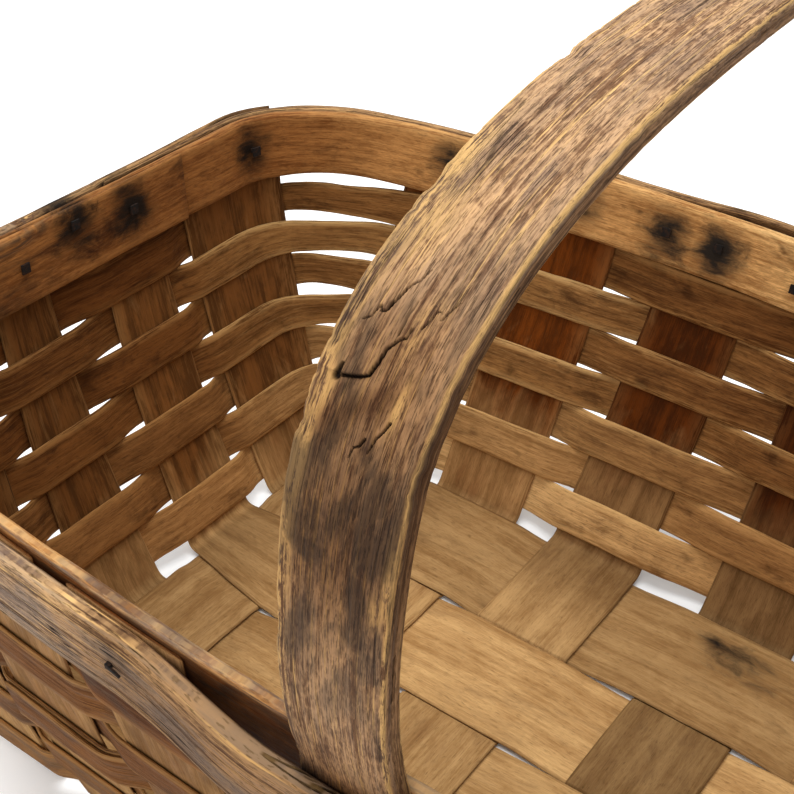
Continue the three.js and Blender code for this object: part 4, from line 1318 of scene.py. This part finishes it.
# Dark and worn patches of the outer face: place along and across, reach along and across, slant and strength
HANDLE_DARK = (
    (150, 1.0, 9.0, 8.0, 0.0, 0.3), (140, 0.5, 3.0, 6.0, 0.6, 0.35), (134, -7.0, 4.0, 5.0, 0.5, 0.35),
    (110, 0.0, 22.0, 7.0, 0.0, 0.3),
)
HANDLE_WORN = (
    (161, -12.0, 6.0, 2.2, 0.5, 0.5), (144, -12.2, 5.0, 1.8, 0.3, 0.7), (139, -9.5, 4.0, 1.2, 0.8, 0.7),
    (141, 5.6, 4.0, 0.9, 0.8, 0.9), (152, 2.6, 3.0, 1.6, 0.8, 0.3), (158, 3.0, 3.5, 2.4, 0.8, 0.3),
    (109, 12.8, 8.0, 1.2, 0.0, 0.9), (100, 10.6, 4.0, 1.5, 0.0, 0.6), (128, -11.0, 9.0, 1.5, 0.2, 0.5),
    (175, -8.0, 9.0, 5.0, 0.2, 0.3), (108, -12.5, 18.0, 2.3, 0.0, 1.0), (88, -12.8, 10.0, 1.4, 0.0, 0.6),
    (126, -12.0, 9.0, 2.2, 0.0, 0.8), (190, -12.2, 16.0, 2.6, 0.0, 0.8), (66, -12.6, 12.0, 1.6, 0.0, 0.6),
    (150, -12.4, 6.0, 2.2, 0.0, 0.6),
)


class BASKET_OT_handle(bpy.types.Operator):
    """Bend the wide handle and wear it down"""

    bl_idname = "basket.handle"
    bl_label = "Handle"

    def execute(self, context):
        sizes, wear, colours = settings(context)
        wood = aged_wood(
            "handle_wood", colours.handle_light, colours.handle_dark, wear, colours,
            pores=0.5, mottle=0.35, grey=0.35, worn=1.9, darkening_and_painted_shade=1.0, gloss=0.1, redden=0.21,
            deep=tuple(colours.handle_deep), soft=0.085, glint=0.8, splits=0.7, speckle=0.3, relief=1.4,
            stretch=2.6, shares=(0.2, 0.28, 0.28, 0.24),
        )
        rng = np.random.default_rng(SEEDS["handle"])
        wall = Wall(sizes)
        s, y, z = self.smooth_line(self.centre_line(wall, sizes))
        way = np.stack([np.gradient(y, s), np.gradient(z, s)], axis=1)
        way /= np.linalg.norm(way, axis=1)[:, None]
        out_y, out_z = -way[:, 1:], way[:, :1]

        half, deep = sizes.handle_width / 2, sizes.handle_thickness / 2
        x, o = self.section(sizes)
        t = x / half
        chips = [np.maximum(Wander(rng, longest, 9)(s), 0)[:, None] ** 1.5 for longest in (0.045, 0.07)]
        inset = wear.chip_depth * np.where(t < 0, chips[0], 0.5 * chips[1])
        across = x - np.sign(t) * inset * np.abs(t) ** 6 * (0.35 + 0.65 * (o > 0))
        wave = Wander(rng, 0.12, 4)(s[:, None] + 0.3 * x)
        face = o > ON_FACE * deep
        along_mm, across_mm = s[:, None] / MM, x / MM
        crack, step = self.cracks(along_mm, across_mm)
        height = o - (o > 0) * (HANDLE_HOLLOWS * (1 + wave) + HANDLE_ROUND * t ** 4)
        height = height + face * (step * MM - crack * wear.crack_depth)
        rings = [wall.handle_x(y)[:, None] + across, y[:, None] + out_y * height, z[:, None] + out_z * height]

        worn = 1.0 * ((np.abs(t) > AT_EDGE[0]) & (np.abs(o) > AT_EDGE[1] * deep))
        worn = np.maximum(worn, face * self.spots(HANDLE_WORN, along_mm, across_mm))
        # Tone along the handle, darkest near the feet, where it is painted shade between the rims
        shade = np.interp(along_mm, *zip(*HANDLE_TONES_AND_PAINTED_SHADE))
        shade = shade * (1 - face * np.minimum(self.spots(HANDLE_DARK, along_mm, across_mm), 0.7))
        shade = mix(shade, 0.9, 0.6 * np.minimum(worn, 1.0))
        side = np.abs(x) > ON_FLANK * half
        flank = side & (o < 0.5 * deep)
        shade = shade * np.where(flank, np.interp(along_mm, *zip(*HANDLE_FLANK_TONES)), 1.0)
        marks = {
            "outer": 0.5 + 0.5 * o / deep, "edge": worn, "crack": np.clip(crack * 1.3, 0, 1) * face,
            "dirt_and_painted_shade": face * np.interp(along_mm, *zip(*HANDLE_DIRT_AND_PAINTED_SHADE)), "darkening_and_painted_shade": 0.8 * flank, "shade": shade,
        }
        flat = x + 0.4 * np.where(side, o, 0.0)
        rings = np.stack(rings, axis=2)
        piece = strip_object("handle_hoop", rings, s, flat, marks, wood, SEEDS["handle"] + 1)
        finish_piece(piece, "handle")
        return {"FINISHED"}

    def centre_line(self, wall, sizes):
        """Points of the middle of the handle in its own plane, from the near foot to the far foot."""
        deep = sizes.handle_thickness / 2
        rim = sizes.rim_height
        foot = wall.outer_bottom + FOOT_LIFT
        low, high = wall.long(1, 0, foot)[1], wall.long(1, 0, rim)[1]
        bulge = wall.handle_bulge
        leg = [(mix(low, high, t) + bulge / 2, mix(foot, rim, t)) for t in np.linspace(0, 1, LEG_POINTS)]
        shoulder = sizes.handle_half_span - deep
        drop = shoulder - leg[-1][0]
        side = []
        for t in np.linspace(0, 1, SIDE_POINTS)[1:]:
            side.append((shoulder - drop * (1 - t) ** 2, mix(rim, sizes.handle_shoulder, t)))
        rise = sizes.handle_top - deep - sizes.handle_shoulder
        square = sizes.handle_squareness
        arch = []
        for angle in np.linspace(0, math.pi / 2, ARCH_POINTS)[1:]:
            c, s = math.cos(angle) / shoulder, math.sin(angle) / rise
            reach = (abs(c) ** square + s ** square) ** (-1 / square)
            arch.append((max(reach * math.cos(angle), 0.0), sizes.handle_shoulder + reach * math.sin(angle)))
        half = leg + side + arch
        return np.array([(-y, z) for y, z in half] + [(y, z) for y, z in half[-2::-1]])

    def smooth_line(self, path):
        """Length along the smoothed line and its points, closest together where the handle is cracked."""
        steps = np.concatenate([[0], np.cumsum(np.linalg.norm(np.diff(path, axis=0), axis=1))])
        first, last = (v * MM for v in CRACKED_ALONG)
        s = np.concatenate([
            np.linspace(0, first, int(first / HANDLE_GRID))[:-1],
            np.arange(first, last, CRACK_GRID),
            np.linspace(last, steps[-1], int((steps[-1] - last) / HANDLE_GRID)),
        ])
        even = np.linspace(0, steps[-1], EVEN_POINTS)
        margin = SMOOTHING // 2
        found = [s]
        for values in path.T:
            line = np.interp(even, steps, values)
            line[margin:-margin] = np.convolve(line, np.ones(SMOOTHING) / SMOOTHING, "valid")
            found.append(np.interp(s, even, line))
        return found

    def section(self, sizes):
        """Rounded section of the handle, across and out, finest where the outer face is cracked."""
        half, deep, c = sizes.handle_width / 2, sizes.handle_thickness / 2, HANDLE_CORNER
        bevel = 0.3 * c
        low, high = (v * MM for v in CRACKED_ACROSS)
        outer = np.concatenate([
            np.linspace(c - half, low, 6)[:-1],
            np.arange(low, high, CRACK_GRID),
            np.linspace(high, half - c, 8),
        ])
        points = [(x, deep) for x in outer]
        points += [(half - bevel, deep - bevel), (half, deep - c)]
        points += [(half, o) for o in np.linspace(deep - c, c - deep, 7)[1:]]
        points += [(half - bevel, bevel - deep)]
        points += [(x, -deep) for x in np.linspace(half - c, c - half, 15)]
        points += [(bevel - half, bevel - deep), (-half, c - deep)]
        points += [(-half, o) for o in np.linspace(c - deep, deep - c, 7)[1:]]
        points += [(bevel - half, deep - bevel)]
        return np.array(points).T

    def cracks(self, s, x):
        """Depth of the cracks as a share, and the step in millimetres where a flake has lifted."""
        depth = np.zeros(np.broadcast_shapes(s.shape, x.shape))
        for width, share, *places in HANDLE_CRACKS:
            for number, ((s0, x0), (s1, x1)) in enumerate(zip(places, places[1:])):
                run = (s1 - s0) ** 2 + (x1 - x0) ** 2
                t = np.clip(((s - s0) * (s1 - s0) + (x - x0) * (x1 - x0)) / run, 0, 1)
                away = np.hypot(s - mix(s0, s1, t), x - mix(x0, x1, t))
                fade = 1 - 0.6 * (number + t) / (len(places) - 1)
                depth = np.maximum(depth, share * np.clip(1.5 * (1 - away / (width * fade)), 0, 1))
        main_crack = HANDLE_CRACKS[0][2:]
        off = x - np.interp(s, *zip(*main_crack))
        rise = np.clip((FLAKE_END - s) / FLAKE_SLOPE, 0, 1) * (s > main_crack[0][0])
        lifted, sunken = (by * np.exp(-((off / reach) ** 2)) for by, reach in (FLAKE_LIFTED, FLAKE_SUNKEN))
        return depth, np.where(off < 0, lifted, -sunken) * rise

    def spots(self, places, s, x):
        """Soft patches on the outer face."""
        total = 0.0
        for s0, x0, reach_s, reach_x, slant, strength in places:
            ds, dx = s - s0, x - x0
            total = total + strength * np.exp(-(((ds - slant * dx) / reach_s) ** 2) - (dx / reach_x) ** 2)
        return total


class BASKET_OT_nails(bpy.types.Operator):
    """Give the cut nails their rusted iron and soften their corners"""

    bl_idname = "basket.nails"
    bl_label = "Nails"

    def execute(self, context):
        iron = rusted_iron(context.scene.basket_colours)
        for name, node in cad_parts.items():
            if name.startswith("nail_"):
                for slot in node.material_slots:
                    slot.material = iron
                soften = node.modifiers.new("worn corners", "BEVEL")
                soften.width = NAIL_CORNER
                soften.segments = 2
        return {"FINISHED"}


class BASKET_OT_stage(bpy.types.Operator):
    """Set the pale table, the soft daylight and the camera"""

    bl_idname = "basket.stage"
    bl_label = "Stage"

    def execute(self, context):
        self.table(context)
        self.daylight(context)
        for name, place, size, power in LAMPS:
            light = bpy.data.lights.new(name, "AREA")
            light.size = size
            light.energy = power
            aim = (Vector(LAMP_TARGET) - Vector(place)).to_track_quat("-Z", "Y").to_euler()
            self.stand(context, name, light, place, aim)
        camera = bpy.data.cameras.new("camera")
        camera.lens = LENS
        camera.sensor_width = SENSOR
        camera.clip_start = 0.01
        aim = tuple(math.radians(a) for a in CAMERA_ANGLES)
        context.scene.camera = self.stand(context, "camera", camera, CAMERA_PLACE, aim)
        context.scene.view_settings.view_transform = "Standard"
        return {"FINISHED"}

    def stand(self, context, name, data, place, turn):
        """Put a lamp or a camera in its place."""
        item = bpy.data.objects.new(name, data)
        item.location = place
        item.rotation_euler = turn
        context.collection.objects.link(item)
        return item

    def table(self, context):
        """Pale table that the camera sees a little brighter away from the basket."""
        mesh = bpy.data.meshes.new("table")
        corners = [(x * TABLE_REACH, y * TABLE_REACH, 0) for x, y in ((-1, -1), (1, -1), (1, 1), (-1, 1))]
        mesh.from_pydata(corners, [], [(0, 1, 2, 3)])
        table = bpy.data.objects.new("table", mesh)
        table.location.z = -TABLE_DROP
        context.collection.objects.link(table)
        bench = NodeBench(bpy.data.materials.new("pale_table"))
        path = bench.nodes.new("ShaderNodeLightPath")
        spread = bench.nodes.new("ShaderNodeVectorMath")
        spread.operation = "LENGTH"
        bench.links.new(bench.nodes.new("ShaderNodeTexCoord").outputs["Object"], spread.inputs[0])
        open_air = bench.ramp(spread.outputs["Value"], *TABLE_GLOW)
        bench.paint(
            Base_Color=(*context.scene.basket_colours.table, 1.0),
            Roughness=0.6,
            Specular_IOR_Level=0.1,
            Emission_Color=TABLE_GLOW_COLOUR,
            Emission_Strength=bench.times(path.outputs["Is Camera Ray"], open_air),
        )
        mesh.materials.append(bench.owner)

    def daylight(self, context):
        """Soft light from all round, which camera, glass and gloss see as white."""
        context.scene.world = bpy.data.worlds.new("daylight")
        sky = NodeBench(context.scene.world, "Background")
        sky.paint(Color=SKY_COLOUR, Strength=SKY_STRENGTH)
        backdrop = sky.nodes.new("ShaderNodeBackground")
        backdrop.inputs["Color"].default_value = (1.0, 1.0, 1.0, 1.0)
        backdrop.inputs["Strength"].default_value = 1.0
        rays = sky.nodes.new("ShaderNodeLightPath").outputs
        seen = sky.math("MAXIMUM", rays["Is Camera Ray"], rays["Is Transmission Ray"])
        seen = sky.math("MAXIMUM", seen, rays["Is Glossy Ray"])
        choose = sky.nodes.new("ShaderNodeMixShader")
        for socket, source in zip(choose.inputs, (seen, sky.shader.outputs[0], backdrop.outputs[0])):
            sky.links.new(source, socket)
        sky.links.new(choose.outputs[0], sky.nodes["World Output"].inputs["Surface"])


class BASKET_PT_panel(bpy.types.Panel):
    """Steps and settings of the basket"""

    bl_idname = "BASKET_PT_panel"
    bl_label = "Gathering Basket"
    bl_space_type = "VIEW_3D"
    bl_region_type = "UI"
    bl_category = "Basket"

    def draw(self, context):
        for operator in OPERATORS:
            self.layout.operator(operator.bl_idname)
        for name in SETTINGS:
            box = self.layout.box()
            group = getattr(context.scene, name)
            for setting in group.__annotations__:
                box.prop(group, setting)


SETTINGS = {"basket_sizes": BasketSizes, "basket_wear": BasketWear, "basket_colours": BasketColours}
OPERATORS = (
    BASKET_OT_splints,
    BASKET_OT_weavers,
    BASKET_OT_rims,
    BASKET_OT_handle,
    BASKET_OT_nails,
    BASKET_OT_stage,
)
CLASSES = (*SETTINGS.values(), *OPERATORS, BASKET_PT_panel)


def register():
    for cls in CLASSES:
        bpy.utils.register_class(cls)
    for name, group in SETTINGS.items():
        setattr(bpy.types.Scene, name, bpy.props.PointerProperty(type=group))


def unregister():
    for name in reversed(SETTINGS):
        delattr(bpy.types.Scene, name)
    for cls in reversed(CLASSES):
        bpy.utils.unregister_class(cls)


def main():
    register()
    bpy.ops.basket.splints()
    bpy.ops.basket.weavers()
    bpy.ops.basket.rims()
    bpy.ops.basket.handle()
    bpy.ops.basket.nails()
    bpy.ops.basket.stage()


if __name__ == "__main__":
    main()
